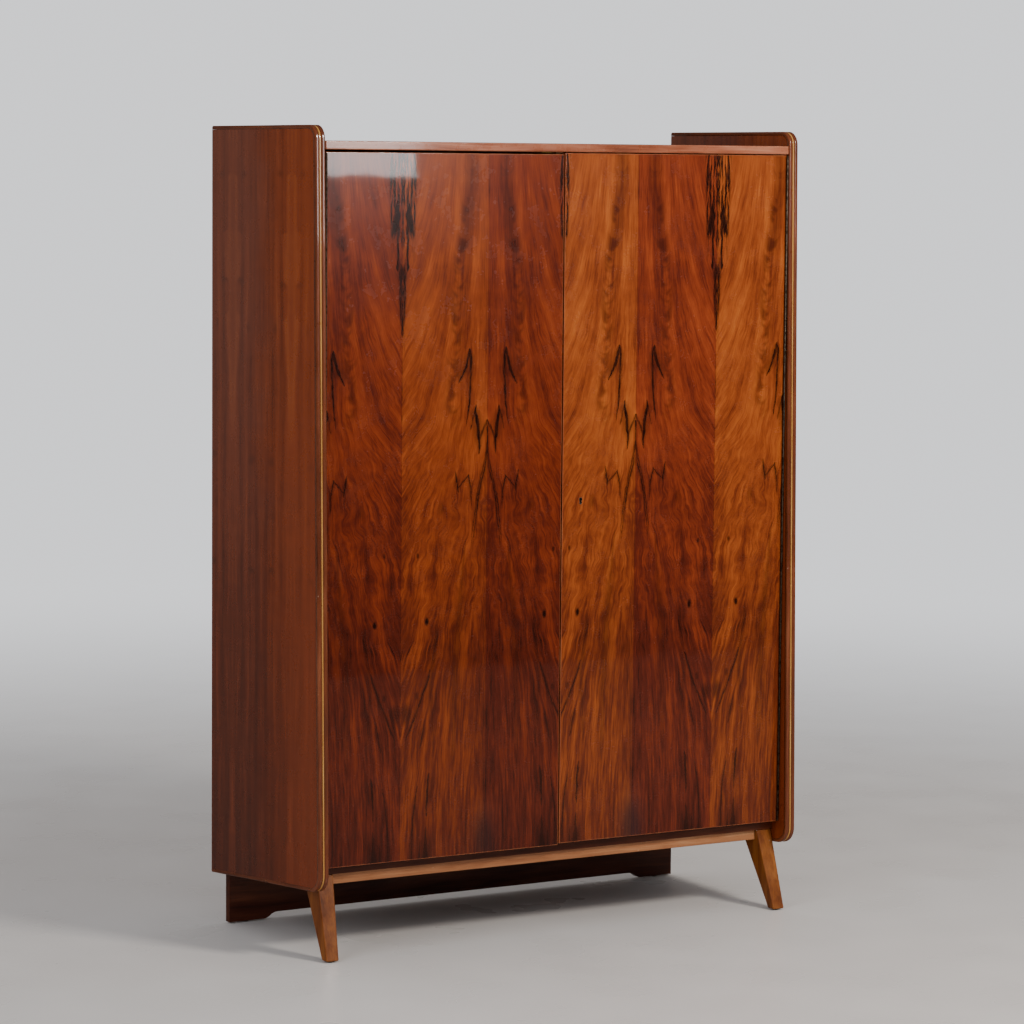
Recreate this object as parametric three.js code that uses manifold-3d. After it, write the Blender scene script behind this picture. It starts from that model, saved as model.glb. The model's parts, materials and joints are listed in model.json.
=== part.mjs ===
// Two-door wardrobe of the 1950s: a veneered case between two deep side panels, on raked front legs
// and a rear plinth board. Millimetres. X runs left to right, -Y is the front, +Z is up.
// The origin is on the floor, under the middle of the wardrobe.
import * as THREE from "three";
import { mergeVertices } from "three/addons/utils/BufferGeometryUtils.js";
import Module from "manifold-3d";

const wasm = await Module();
wasm.setup();

// Overall size.
const WIDTH = 1200;
const DEPTH = 500;
const HEIGHT = 1730;

// Case boards.
const PANEL = 24; // side panel thickness
const BOARD = 18; // top board, partition and plinth board
const FLOOR_BOARD = 20;
const SHELF = 16;
const BACK = 5; // plywood back
const FIT = 0.3; // clearance between pieces that touch
const INNER = WIDTH / 2 - PANEL; // inner face of a side panel
const BACK_Y = DEPTH / 2;
const BACK_FACE = 231; // front face of the plywood back

// Side panel outline: the front edge leans out towards the floor, the lower edge drops to the back.
const LEAN = 29;
const FOOT_FRONT = 151; // height of the lower front corner
const FOOT_BACK = 110;
const TOP_RADIUS = 30;
const FOOT_RADIUS = 38;
const LIPPING = 8; // solid lipping round the panel's top, front and lower edges
const STRING_WIDTH = 3;
const STRING_DEPTH = 1.5;

// Heights of the case.
const CASE_BOTTOM = 176; // underside of the floor board
const CASE_FLOOR = CASE_BOTTOM + FLOOR_BOARD;
const TOP_UNDERSIDE = 1680;
const TOP_FRONT = -221.2;
const FLOOR_FRONT = -195.5;

// Doors: the left one hangs a little lower than the right one.
const DOOR = 20;
const DOOR_FRONT = -217.5;
const DOOR_BACK = DOOR_FRONT + DOOR;
const DOOR_HEIGHT = 1481;
const DOOR_OUTER = 573;
const DOOR_INNER = 1.5;
const DOOR_BASE = { left: 194, right: 197 };

// Piano hinges.
const BARREL = 2.5;
const BORE = 1.35;
const PIN = 1.05;
const LEAF = 0.9;
const LEAF_STRIP = 15.5; // depth of the flat strip behind the barrel
const LEAF_GAP = 0.4; // between the barrel and the strip
const AXIS_X = INNER - FIT - BARREL;
const AXIS_Y = DOOR_FRONT - FIT - BARREL - 0.1;
const KNUCKLES = 24;
const KNUCKLE_GAP = 0.4;
const HINGE_INSET = 1.5; // hinge ends stop short of the door's ends

// Lock, keyhole and bolts.
const KEYHOLE = { x: 47.5, z: 940 };
const LOCK = { low: [3, -209.7, 903], high: [68, -198.1, 974] };
const LOCK_WALL = 1.5;
const FOREND = { low: [1.8, -214.5, 893], high: [3.2, -198.1, 984] };
const LOCK_BOLT = { low: [2.2, -207.5, 928], high: [36, -200.5, 950] };
const STRIKE = { low: [-3.2, -212, 915], high: [-1.8, -198.1, 963] };
const SLIDE_X = -30; // centre line of the two slide bolts on the left door
const SLIDE_Y = -188.4;
const SLIDE_BAR = { width: 10, depth: 4, length: 93.5 };
const SLIDE_TIP = { top: 1.5, bottom: 4.5 }; // how far the bars stop short of the door's ends
const SLIDE_POCKET = { clear: 0.8, top: 11, floor: 14 };

// Guide of a slide bolt: a plate with two bridges. Lengths are measured from the tip of the bar.
const GUIDE = { half: 13, thick: 1.5, span: [6, 86] };
const BRIDGE = { half: 9, cover: 2.2, spans: [[9, 23], [68, 82]] };
const CHANNEL = { clear: 0.4, front: 2.4, span: [-5, 120] };
const KNOB = { at: 47, top: 4, base: 3, height: 9 };
const KEEPER = { half: 14, front: 5.5, back: 7, thick: 1 };

// Where the lock bolt enters the left door, and keyhole outlines as
// [radius of the eye, half width of the slot, drop of the slot's foot below the eye].
const MORTISE = { clear: 0.9, depth: 14 };
const STRIKE_SLOT_CLEAR = 0.6;
const BUSH_HOLE = [4.3, 2.9, 8.3];
const BUSH_OUTER = [4, 2.6, 8.3];
const BUSH_INNER = [3, 1.7, 7.9];
const KEY_SLOT = [2.4, 1.4, 7.4];

// Front legs, at the floor and under the case.
const LEG_BOTTOM = { z: 3, outer: 578.4, inner: 549.2, front: -244.3, back: -222.5 };
const LEG_TOP = { z: CASE_BOTTOM - FIT, outer: 575, inner: 536.2, front: -192.4, back: -127 };
const RAIL = { base: 153, front: -185.5, depth: 20 };
const PLINTH = { front: 211, foot: 84, arch: 16, sweep: 34, footPull: 14, archPull: 18 };
const LEG_BLOCK = { x: 517.5, half: 18, back: -131, base: 155 };
const PLINTH_BLOCK = { x: 552, half: 22, front: 168, base: 132 };
const REAR_GLIDE = 3;
const GLIDE_RADIUS = 8;

// Fittings inside.
const HANGING = { z: 1390, y: 17, radius: 12.5 };
const SOCKET = { flange: 21, flangeDepth: 2.5, cup: 17.5, depth: 13, seat: 3, clear: 0.6 };
const SHELF_COUNT = 4;
const SHELF_FRONT = -173;
const HAT_SHELF = { z: 1440, front: -150 };
const SHELF_BACK = BACK_FACE - 2;
const CLEAT = { width: 14, height: 20, frontSetback: 10, backSetback: 12 };

const finish = (color, roughness, metalness = 0) =>
  new THREE.MeshStandardMaterial({ color, roughness, metalness });
const LOOKS = {
  doorVeneer: () => finish("#8c3d14", 0.12),
  sideVeneer: () => finish("#6a2e18", 0.15),
  lipping: () => finish("#8d4c30", 0.2),
  string: () => finish("#b98443", 0.25),
  frame: () => finish("#844819", 0.35),
  darkWood: () => finish("#45200f", 0.4),
  inside: () => finish("#b08355", 0.5),
  plywood: () => finish("#a3774a", 0.6),
  steel: () => finish("#4a4b47", 0.45, 1),
  brass: () => finish("#a6803c", 0.35, 1),
  nickel: () => finish("#9a9a96", 0.3, 1),
};

// A box geometry between two corners, in its group's frame.
function slab(low, high) {
  const size = high.map((value, i) => value - low[i]);
  const geometry = new THREE.BoxGeometry(...size);
  geometry.translate(...low.map((value, i) => value + size[i] / 2));
  return geometry;
}

// A closed solid for joining and cutting, and back again.
function solid(geometry) {
  const bare = geometry.clone();
  bare.deleteAttribute("normal");
  bare.deleteAttribute("uv");
  const merged = mergeVertices(bare, 1e-3);
  const vertProperties = new Float32Array(merged.getAttribute("position").array);
  const triVerts = new Uint32Array(merged.index.array);
  return new wasm.Manifold(new wasm.Mesh({ numProp: 3, vertProperties, triVerts }));
}

function cut(geometry, ...tools) {
  return tools.reduce((body, tool) => body.subtract(solid(tool)), solid(geometry));
}

function surface(body) {
  const mesh = body.getMesh();
  const geometry = new THREE.BufferGeometry();
  geometry.setAttribute("position", new THREE.BufferAttribute(mesh.vertProperties, 3));
  geometry.setIndex(new THREE.BufferAttribute(mesh.triVerts, 1));
  geometry.computeVertexNormals();
  return geometry;
}

function addMesh(group, name, geometry, material) {
  const mesh = new THREE.Mesh(geometry, material);
  mesh.name = name;
  group.add(mesh);
  return mesh;
}

// A plain board given by two corners: the mesh sits at the board's centre.
function addBoard(group, name, low, high, material) {
  const size = high.map((value, i) => value - low[i]);
  const mesh = addMesh(group, name, new THREE.BoxGeometry(...size), material);
  mesh.position.set(...low.map((value, i) => value + size[i] / 2));
  return mesh;
}

// Turns an outline drawn in (Y, Z) so that its extrusion runs along +X.
const FROM_SIDE = new THREE.Matrix4().makeBasis(
  new THREE.Vector3(0, 1, 0),
  new THREE.Vector3(0, 0, 1),
  new THREE.Vector3(1, 0, 0),
);
// Turns an outline drawn in (X, Z) so that its extrusion runs along -Y.
const FROM_FRONT = new THREE.Matrix4().makeBasis(
  new THREE.Vector3(1, 0, 0),
  new THREE.Vector3(0, 0, 1),
  new THREE.Vector3(0, -1, 0),
);

function extrude(shape, depth, turn, curveSegments = 6) {
  const settings = { depth, bevelEnabled: false, curveSegments };
  return new THREE.ExtrudeGeometry(shape, settings).applyMatrix4(turn);
}

// A polygon whose corners [a, b, radius] are rounded by arcs, drawn counter-clockwise.
function roundedOutline(corners) {
  const shape = new THREE.Shape();
  corners.forEach(([a, b, radius], i) => {
    const here = new THREE.Vector2(a, b);
    const before = corners[(i + corners.length - 1) % corners.length];
    const after = corners[(i + 1) % corners.length];
    const inward = here.clone().sub(new THREE.Vector2(before[0], before[1])).normalize();
    const outward = new THREE.Vector2(after[0], after[1]).sub(here).normalize();
    const turn = Math.acos(inward.dot(outward));
    const reach = radius * Math.tan(turn / 2);
    const start = here.clone().addScaledVector(inward, -reach);
    if (i === 0) shape.moveTo(start.x, start.y);
    else shape.lineTo(start.x, start.y);
    if (radius > 0) {
      const centre = start.clone().add(new THREE.Vector2(-inward.y, inward.x).multiplyScalar(radius));
      const from = Math.atan2(start.y - centre.y, start.x - centre.x);
      shape.absarc(centre.x, centre.y, radius, from, from + turn, false);
    }
  });
  shape.closePath();
  return shape;
}

// Side panel outline, inset all round but the back. Its corners are where the offset edges meet.
function panelOutline(inset) {
  const edgeHeight = HEIGHT - FOOT_FRONT;
  const lean = Math.atan2(LEAN, edgeHeight);
  const drop = Math.atan2(FOOT_FRONT - FOOT_BACK, DEPTH);
  const cornerReach = FOOT_RADIUS * Math.tan((Math.PI / 2 - lean - drop) / 2);
  const frontAtFoot = -DEPTH / 2 - cornerReach * Math.sin(lean) + FOOT_RADIUS * (1 - Math.cos(lean));
  const frontAt = (z) => frontAtFoot + (z - FOOT_FRONT) * Math.tan(lean) + inset / Math.cos(lean);
  const footAt = (y) => FOOT_BACK + (BACK_Y - y) * Math.tan(drop) + inset / Math.cos(drop);
  const top = HEIGHT - inset;
  let frontFoot = frontAt(FOOT_FRONT);
  for (let i = 0; i < 8; i += 1) frontFoot = frontAt(footAt(frontFoot));
  return roundedOutline([
    [BACK_Y, footAt(BACK_Y), 0],
    [BACK_Y, top, 0],
    [frontAt(top), top, TOP_RADIUS - inset],
    [frontFoot, footAt(frontFoot), FOOT_RADIUS - inset],
  ]);
}

// Two side panels, each with its lipping and the pale string let into the lipping.
function addSidePanel(group, side) {
  const sign = side === "left" ? -1 : 1;
  const sidePanel = new THREE.Group();
  sidePanel.position.x = sign * (WIDTH / 2 - PANEL / 2);
  group.add(sidePanel);
  const layer = (inset, width) =>
    extrude(panelOutline(inset), width, FROM_SIDE, 8).translate(-width / 2, 0, 0);
  const groove = STRING_WIDTH + 2 * FIT;
  const band = cut(layer(0, PANEL), layer(LIPPING, PANEL + 2));
  const outerRim = cut(layer(-1, groove), layer(STRING_DEPTH + FIT, groove + 2));
  const string = cut(layer(0.1, STRING_WIDTH), layer(STRING_DEPTH, STRING_WIDTH + 2));
  addMesh(sidePanel, `side_panel_${side}`, layer(LIPPING + FIT, PANEL), LOOKS.sideVeneer());
  addMesh(sidePanel, `edge_lipping_${side}`, surface(band.subtract(outerRim)), LOOKS.lipping());
  addMesh(sidePanel, `edge_string_${side}`, surface(string), LOOKS.string());
}

// A pocket for the end of a slide bolt, between two heights.
function boltPocket(low, high) {
  const side = SLIDE_BAR.width / 2 + SLIDE_POCKET.clear;
  const deep = SLIDE_BAR.depth / 2 + SLIDE_POCKET.clear;
  return slab([SLIDE_X - side, SLIDE_Y - deep, low], [SLIDE_X + side, SLIDE_Y + deep, high]);
}

function addCase(group) {
  addSidePanel(group, "left");
  addSidePanel(group, "right");
  const x = INNER - FIT;
  const back = BACK_FACE - FIT;
  const topBoard = slab([-x, TOP_FRONT, TOP_UNDERSIDE], [x, back, TOP_UNDERSIDE + BOARD]);
  const floorBoard = slab([-x, FLOOR_FRONT, CASE_BOTTOM], [x, back, CASE_FLOOR]);
  const topPocket = boltPocket(TOP_UNDERSIDE - 1, TOP_UNDERSIDE + SLIDE_POCKET.top);
  const floorPocket = boltPocket(CASE_FLOOR - SLIDE_POCKET.floor, CASE_FLOOR + 1);
  addMesh(group, "top_board", surface(cut(topBoard, topPocket)), LOOKS.sideVeneer());
  addMesh(group, "floor_board", surface(cut(floorBoard, floorPocket)), LOOKS.darkWood());
  const half = BOARD / 2;
  addBoard(
    group,
    "centre_partition",
    [-half, DOOR_BACK + 1, CASE_FLOOR + FIT],
    [half, back, TOP_UNDERSIDE - FIT],
    LOOKS.inside(),
  );
  addBoard(
    group,
    "back_panel",
    [-x, BACK_FACE, CASE_BOTTOM],
    [x, BACK_FACE + BACK, TOP_UNDERSIDE + BOARD],
    LOOKS.plywood(),
  );
}

// A shelf between x0 and x1 with a cleat under each end.
function addShelf(group, name, x0, x1, z, front) {
  const cleatTop = z - FIT;
  const cleatBase = cleatTop - CLEAT.height;
  const cleatFront = front + CLEAT.frontSetback;
  const cleatBack = SHELF_BACK - CLEAT.backSetback;
  addBoard(group, name, [x0, front, z], [x1, SHELF_BACK, z + SHELF], LOOKS.inside());
  const ends = { left: [x0, x0 + CLEAT.width], right: [x1 - CLEAT.width, x1] };
  for (const [end, [low, high]] of Object.entries(ends)) {
    const corners = [[low, cleatFront, cleatBase], [high, cleatBack, cleatTop]];
    addBoard(group, `${name}_cleat_${end}`, ...corners, LOOKS.inside());
  }
}

function addInterior(group) {
  const wall = INNER - FIT;
  const divider = BOARD / 2 + FIT;
  const bay = (TOP_UNDERSIDE - CASE_FLOOR - SHELF_COUNT * SHELF) / (SHELF_COUNT + 1);
  for (let i = 1; i <= SHELF_COUNT; i += 1) {
    const z = CASE_FLOOR + i * bay + (i - 1) * SHELF;
    addShelf(group, `shelf_${i}`, -wall, -divider, z, SHELF_FRONT);
  }
  addShelf(group, "hat_shelf", divider, wall, HAT_SHELF.z, HAT_SHELF.front);

  const railGroup = new THREE.Group();
  railGroup.position.set(0, HANGING.y, HANGING.z);
  group.add(railGroup);
  const bore = HANGING.radius + SOCKET.clear;
  const socketProfile = [
    [0, 0],
    [SOCKET.flange, 0],
    [SOCKET.flange, SOCKET.flangeDepth],
    [SOCKET.cup, SOCKET.flangeDepth],
    [SOCKET.cup, SOCKET.depth],
    [bore, SOCKET.depth],
    [bore, SOCKET.seat],
    [0, SOCKET.seat],
  ].map(([r, h]) => new THREE.Vector2(r, h));
  const railEnd = SOCKET.seat + FIT;
  const rod = new THREE.CylinderGeometry(
    HANGING.radius,
    HANGING.radius,
    wall - divider - 2 * railEnd,
    28,
  );
  const rail = addMesh(railGroup, "hanging_rail", rod, LOOKS.brass());
  rail.rotation.z = Math.PI / 2;
  rail.position.x = (wall + divider) / 2;
  for (const [side, x, sign] of [["left", divider, -1], ["right", wall, 1]]) {
    const cup = new THREE.LatheGeometry(socketProfile, 28);
    const socket = addMesh(railGroup, `rail_socket_${side}`, cup, LOOKS.brass());
    socket.rotation.z = (sign * Math.PI) / 2;
    socket.position.x = x;
  }
}

// A leg, straight on all four sides, thinning and raking forward towards the floor.
function legGeometry(sign) {
  const geometry = new THREE.BoxGeometry(1, 1, 1);
  const place = geometry.getAttribute("position");
  for (let i = 0; i < place.count; i += 1) {
    const end = place.getZ(i) > 0 ? LEG_TOP : LEG_BOTTOM;
    const outer = place.getX(i) * sign > 0;
    const front = place.getY(i) < 0;
    place.setXYZ(i, sign * (outer ? end.outer : end.inner), front ? end.front : end.back, end.z);
  }
  return geometry;
}

// A domed nail glide that stands on the floor and reaches up to the given height.
function addGlide(group, name, x, y, height) {
  const profile = [
    [0, 0],
    [GLIDE_RADIUS * 0.6, 0],
    [GLIDE_RADIUS, height * 0.5],
    [GLIDE_RADIUS, height],
    [0, height],
  ].map(([r, h]) => new THREE.Vector2(r, h));
  const glide = addMesh(group, name, new THREE.LatheGeometry(profile, 20), LOOKS.nickel());
  glide.rotation.x = Math.PI / 2;
  glide.position.set(x, y, 0);
}

function addBase(group) {
  const railTop = CASE_BOTTOM - FIT;
  const legSlope = (LEG_TOP.inner - LEG_BOTTOM.inner) / (LEG_TOP.z - LEG_BOTTOM.z);
  const railEndAt = (z) => LEG_BOTTOM.inner + (z - LEG_BOTTOM.z) * legSlope - FIT;
  const rail = new THREE.Shape([
    new THREE.Vector2(-railEndAt(RAIL.base), RAIL.base),
    new THREE.Vector2(railEndAt(RAIL.base), RAIL.base),
    new THREE.Vector2(railEndAt(railTop), railTop),
    new THREE.Vector2(-railEndAt(railTop), railTop),
  ]);
  const railMesh = addMesh(group, "front_rail", extrude(rail, RAIL.depth, FROM_FRONT), LOOKS.frame());
  railMesh.position.y = RAIL.front + RAIL.depth;

  const end = INNER - FIT;
  const foot = end - PLINTH.foot;
  const arch = foot - PLINTH.sweep;
  const plinth = new THREE.Shape();
  plinth.moveTo(-end, REAR_GLIDE);
  plinth.lineTo(-foot, REAR_GLIDE);
  const footPull = foot - PLINTH.footPull;
  const archPull = arch + PLINTH.archPull;
  plinth.bezierCurveTo(-footPull, REAR_GLIDE, -archPull, PLINTH.arch, -arch, PLINTH.arch);
  plinth.lineTo(arch, PLINTH.arch);
  plinth.bezierCurveTo(archPull, PLINTH.arch, footPull, REAR_GLIDE, foot, REAR_GLIDE);
  plinth.lineTo(end, REAR_GLIDE);
  plinth.lineTo(end, railTop);
  plinth.lineTo(-end, railTop);
  plinth.closePath();
  const plinthGeometry = extrude(plinth, BOARD, FROM_FRONT, 8);
  const plinthMesh = addMesh(group, "rear_plinth_board", plinthGeometry, LOOKS.darkWood());
  plinthMesh.position.y = PLINTH.front + BOARD;

  for (const [side, sign] of [["left", -1], ["right", 1]]) {
    addMesh(group, `front_leg_${side}`, legGeometry(sign), LOOKS.frame());
    const legBlockX = sign * LEG_BLOCK.x;
    const legBlock = [
      [legBlockX - LEG_BLOCK.half, RAIL.front + RAIL.depth + FIT, LEG_BLOCK.base],
      [legBlockX + LEG_BLOCK.half, LEG_BLOCK.back, railTop],
    ];
    const plinthBlockX = sign * PLINTH_BLOCK.x;
    const plinthBlock = [
      [plinthBlockX - PLINTH_BLOCK.half, PLINTH_BLOCK.front, PLINTH_BLOCK.base],
      [plinthBlockX + PLINTH_BLOCK.half, PLINTH.front - FIT, railTop],
    ];
    addBoard(group, `leg_block_${side}`, ...legBlock, LOOKS.darkWood());
    addBoard(group, `plinth_block_${side}`, ...plinthBlock, LOOKS.darkWood());
    const legX = (sign * (LEG_BOTTOM.outer + LEG_BOTTOM.inner)) / 2;
    const legY = (LEG_BOTTOM.front + LEG_BOTTOM.back) / 2;
    addGlide(group, `front_glide_${side}`, legX, legY, LEG_BOTTOM.z - FIT);
    const rearX = sign * (end - PLINTH.foot / 2);
    addGlide(group, `rear_glide_${side}`, rearX, PLINTH.front + BOARD / 2, REAR_GLIDE - FIT);
  }
}

// One leaf of a piano hinge about its own pin axis. The strip lies between x0 and x0 + LEAF, behind
// the barrel; every other knuckle belongs to it, starting with number "first".
function hingeLeaf(x0, first, length) {
  const pitch = length / KNUCKLES;
  const clear = BARREL + LEAF_GAP;
  const round = (radius, height) =>
    new THREE.CylinderGeometry(radius, radius, height, 10).rotateX(Math.PI / 2);
  let body = solid(slab([x0, clear, 0], [x0 + LEAF, clear + LEAF_STRIP, length]));
  for (let i = first; i < KNUCKLES; i += 2) {
    const low = i * pitch + KNUCKLE_GAP / 2;
    const high = (i + 1) * pitch - KNUCKLE_GAP / 2;
    const knuckle = round(BARREL, high - low).translate(0, 0, (low + high) / 2);
    const tab = slab([x0, 0, low], [x0 + LEAF, clear + 1, high]);
    body = body.add(solid(knuckle)).add(solid(tab));
  }
  return body.subtract(solid(round(BORE, length + 2).translate(0, 0, length / 2)));
}

function addHinge(group, side, doorBase) {
  const sign = side === "left" ? -1 : 1;
  const length = DOOR_HEIGHT - 2 * HINGE_INSET;
  const hinge = new THREE.Group();
  hinge.position.set(sign * AXIS_X, AXIS_Y, doorBase + HINGE_INSET);
  group.add(hinge);
  const fixedX = sign > 0 ? BARREL - LEAF : -BARREL;
  const movingX = sign > 0 ? 0 : -LEAF;
  const fixed = surface(hingeLeaf(fixedX, 0, length));
  const moving = surface(hingeLeaf(movingX, 1, length));
  addMesh(hinge, `hinge_fixed_leaf_${side}`, fixed, LOOKS.steel());
  addMesh(hinge, `hinge_moving_leaf_${side}`, moving, LOOKS.steel());
  const rod = new THREE.CylinderGeometry(PIN, PIN, length - 1, 10).rotateX(Math.PI / 2);
  const pin = addMesh(hinge, `hinge_pin_${side}`, rod, LOOKS.steel());
  pin.position.z = length / 2;
}

// A keyhole outline in (X, Z): a round eye over a slot with a round foot.
function keyholeOutline([eye, slot, drop]) {
  const neck = Math.asin(slot / eye);
  const shape = new THREE.Shape();
  shape.absarc(0, 0, eye, -Math.PI / 2 + neck, (3 * Math.PI) / 2 - neck, false);
  shape.lineTo(-slot, -drop);
  shape.absarc(0, -drop, slot, Math.PI, 2 * Math.PI, false);
  shape.closePath();
  return shape;
}

function keyholeTool(outline, front, back) {
  return extrude(keyholeOutline(outline), back - front, FROM_FRONT, 8)
    .translate(KEYHOLE.x, back, KEYHOLE.z);
}

const grow = ({ low, high }, by) => [low.map((v) => v - by), high.map((v) => v + by)];

function doorBody(side) {
  const base = DOOR_BASE[side];
  const xs = side === "left" ? [-DOOR_OUTER, -DOOR_INNER] : [DOOR_INNER, DOOR_OUTER];
  return slab([xs[0], DOOR_FRONT, base], [xs[1], DOOR_BACK, base + DOOR_HEIGHT]);
}

function addRightDoor(group) {
  const [lockLow, lockHigh] = grow(LOCK, FIT);
  const [forendLow, forendHigh] = grow(FOREND, FIT);
  const lockPocket = slab(lockLow, [lockHigh[0], DOOR_BACK + 1, lockHigh[2]]);
  const forendPocket = slab(
    [DOOR_INNER - 1, forendLow[1], forendLow[2]],
    [forendHigh[0], DOOR_BACK + 1, forendHigh[2]],
  );
  const bushHole = keyholeTool(BUSH_HOLE, DOOR_FRONT - 1, LOCK.low[1] + 1);
  const door = cut(doorBody("right"), lockPocket, forendPocket, bushHole);
  addMesh(group, "door_right", surface(door), LOOKS.doorVeneer());

  const keySlot = keyholeTool(KEY_SLOT, LOCK.low[1] - 1, LOCK.low[1] + 4);
  const [cavityLow, cavityHigh] = grow(LOCK, -LOCK_WALL);
  const [boltLow, boltHigh] = grow(LOCK_BOLT, FIT);
  const boltSlot = slab([0, boltLow[1], boltLow[2]], [cavityLow[0] + 1, boltHigh[1], boltHigh[2]]);
  const lock = solid(slab(LOCK.low, LOCK.high))
    .add(solid(slab(FOREND.low, FOREND.high)))
    .subtract(solid(slab(cavityLow, cavityHigh)))
    .subtract(solid(boltSlot))
    .subtract(solid(keySlot));
  addMesh(group, "lock_case", surface(lock), LOOKS.steel());
  addBoard(group, "lock_bolt", LOCK_BOLT.low, LOCK_BOLT.high, LOOKS.brass());

  const bushOuter = keyholeTool(BUSH_OUTER, DOOR_FRONT - 0.4, LOCK.low[1] - FIT);
  const bushInner = keyholeTool(BUSH_INNER, DOOR_FRONT - 1, LOCK.low[1] + 1);
  addMesh(group, "keyhole_bush", surface(cut(bushOuter, bushInner)), LOOKS.nickel());
}

// A slide bolt on the back of the left door: a plate with two bridges, and the bar they guide.
// "up" is 1 for the bolt at the top of the door and -1 for the one at the bottom.
function addSlideBolt(group, name, up, tip) {
  const at = (distance) => tip - up * distance;
  const box = (x, y0, y1, d0, d1) => {
    const [low, high] = [at(d0), at(d1)].sort((a, b) => a - b);
    return slab([SLIDE_X - x, y0, low], [SLIDE_X + x, y1, high]);
  };
  const plateFace = DOOR_BACK + FIT;
  const barBack = SLIDE_Y + SLIDE_BAR.depth / 2;
  const barSide = SLIDE_BAR.width / 2;
  const channelFront = SLIDE_Y - CHANNEL.front;
  const channelBack = barBack + CHANNEL.clear;
  const channel = box(barSide + CHANNEL.clear, channelFront, channelBack, ...CHANNEL.span);
  let guide = solid(box(GUIDE.half, plateFace, plateFace + GUIDE.thick, ...GUIDE.span));
  for (const span of BRIDGE.spans) {
    guide = guide.add(solid(box(BRIDGE.half, plateFace, barBack + BRIDGE.cover, ...span)));
  }
  addMesh(group, `${name}_guide`, surface(guide.subtract(solid(channel))), LOOKS.brass());
  const knob = new THREE.CylinderGeometry(KNOB.top, KNOB.base, KNOB.height, 16);
  knob.translate(SLIDE_X, barBack + KNOB.height / 2 - 0.5, at(KNOB.at));
  const barFront = SLIDE_Y - SLIDE_BAR.depth / 2;
  const bar = solid(box(barSide, barFront, barBack, 0, SLIDE_BAR.length)).add(solid(knob));
  addMesh(group, name, surface(bar), LOOKS.brass());
}

function addLeftDoor(group) {
  const [strikeLow, strikeHigh] = grow(STRIKE, FIT);
  const strikePocket = slab(strikeLow, [0, DOOR_BACK + 1, strikeHigh[2]]);
  const [boltLow, boltHigh] = grow(LOCK_BOLT, MORTISE.clear);
  const boltPocketLow = [-MORTISE.depth, boltLow[1], boltLow[2]];
  const lockPocket = slab(boltPocketLow, [0, boltHigh[1], boltHigh[2]]);
  addMesh(
    group,
    "door_left",
    surface(cut(doorBody("left"), strikePocket, lockPocket)),
    LOOKS.doorVeneer(),
  );
  const [slotLow, slotHigh] = grow(LOCK_BOLT, STRIKE_SLOT_CLEAR);
  const slot = slab([-5, slotLow[1], slotLow[2]], [0, slotHigh[1], slotHigh[2]]);
  const strike = cut(slab(STRIKE.low, STRIKE.high), slot);
  addMesh(group, "lock_strike_plate", surface(strike), LOOKS.brass());
  const doorTop = DOOR_BASE.left + DOOR_HEIGHT;
  addSlideBolt(group, "upper_slide_bolt", 1, doorTop - SLIDE_TIP.top);
  addSlideBolt(group, "lower_slide_bolt", -1, DOOR_BASE.left + SLIDE_TIP.bottom);
}

// Slotted keeper plates for the slide bolts, under the top board and on the floor board.
function addKeepers(group) {
  const plate = (low) => {
    const front = [SLIDE_X - KEEPER.half, SLIDE_Y - KEEPER.front, low];
    const back = [SLIDE_X + KEEPER.half, SLIDE_Y + KEEPER.back, low + KEEPER.thick];
    return surface(cut(slab(front, back), boltPocket(low - 1, low + KEEPER.thick + 1)));
  };
  const upperLow = TOP_UNDERSIDE - FIT - KEEPER.thick;
  addMesh(group, "upper_bolt_keeper", plate(upperLow), LOOKS.brass());
  addMesh(group, "lower_bolt_keeper", plate(CASE_FLOOR + FIT), LOOKS.brass());
}

const wardrobe = new THREE.Group();
wardrobe.name = "wardrobe";
addCase(wardrobe);
addInterior(wardrobe);
addBase(wardrobe);
addLeftDoor(wardrobe);
addRightDoor(wardrobe);
addHinge(wardrobe, "left", DOOR_BASE.left);
addHinge(wardrobe, "right", DOOR_BASE.right);
addKeepers(wardrobe);

export default wardrobe;
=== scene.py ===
# %% [markdown]
# # A two-door wardrobe in walnut veneer
# The carcass is made of flat boards, so its shape is simple and its looks come from three things: the figured
# veneer on the doors, the lacquer over it, and the small roundings and bits of wear that flat boards have in life.
# The fixed frame gives every board its place.

# %% The frame
import functools
import json
import math

import bmesh
import bpy
from mathutils import Matrix, Vector


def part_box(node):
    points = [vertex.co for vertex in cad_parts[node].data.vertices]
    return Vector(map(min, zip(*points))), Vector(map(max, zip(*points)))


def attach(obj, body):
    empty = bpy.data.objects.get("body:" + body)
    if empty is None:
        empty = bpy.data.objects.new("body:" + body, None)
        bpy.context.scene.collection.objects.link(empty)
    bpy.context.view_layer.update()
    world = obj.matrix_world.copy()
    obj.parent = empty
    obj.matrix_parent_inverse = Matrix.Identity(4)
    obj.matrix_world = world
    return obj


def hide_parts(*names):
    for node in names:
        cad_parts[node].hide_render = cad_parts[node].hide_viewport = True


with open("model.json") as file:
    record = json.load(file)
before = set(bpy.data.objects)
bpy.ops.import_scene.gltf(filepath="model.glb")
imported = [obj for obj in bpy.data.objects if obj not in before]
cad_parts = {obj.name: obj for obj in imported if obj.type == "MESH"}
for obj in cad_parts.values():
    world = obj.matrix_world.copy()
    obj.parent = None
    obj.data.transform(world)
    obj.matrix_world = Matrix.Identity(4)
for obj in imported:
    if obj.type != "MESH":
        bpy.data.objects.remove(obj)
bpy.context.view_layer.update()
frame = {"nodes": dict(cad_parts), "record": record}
nodes = frame["nodes"]
body_of = {node: body for body, members in frame["record"]["behaviour"]["bodies"].items() for node in members}
slot_of = {part["node"]: part["material_slot"] for part in frame["record"]["subparts"]}
MM = 0.001

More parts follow.
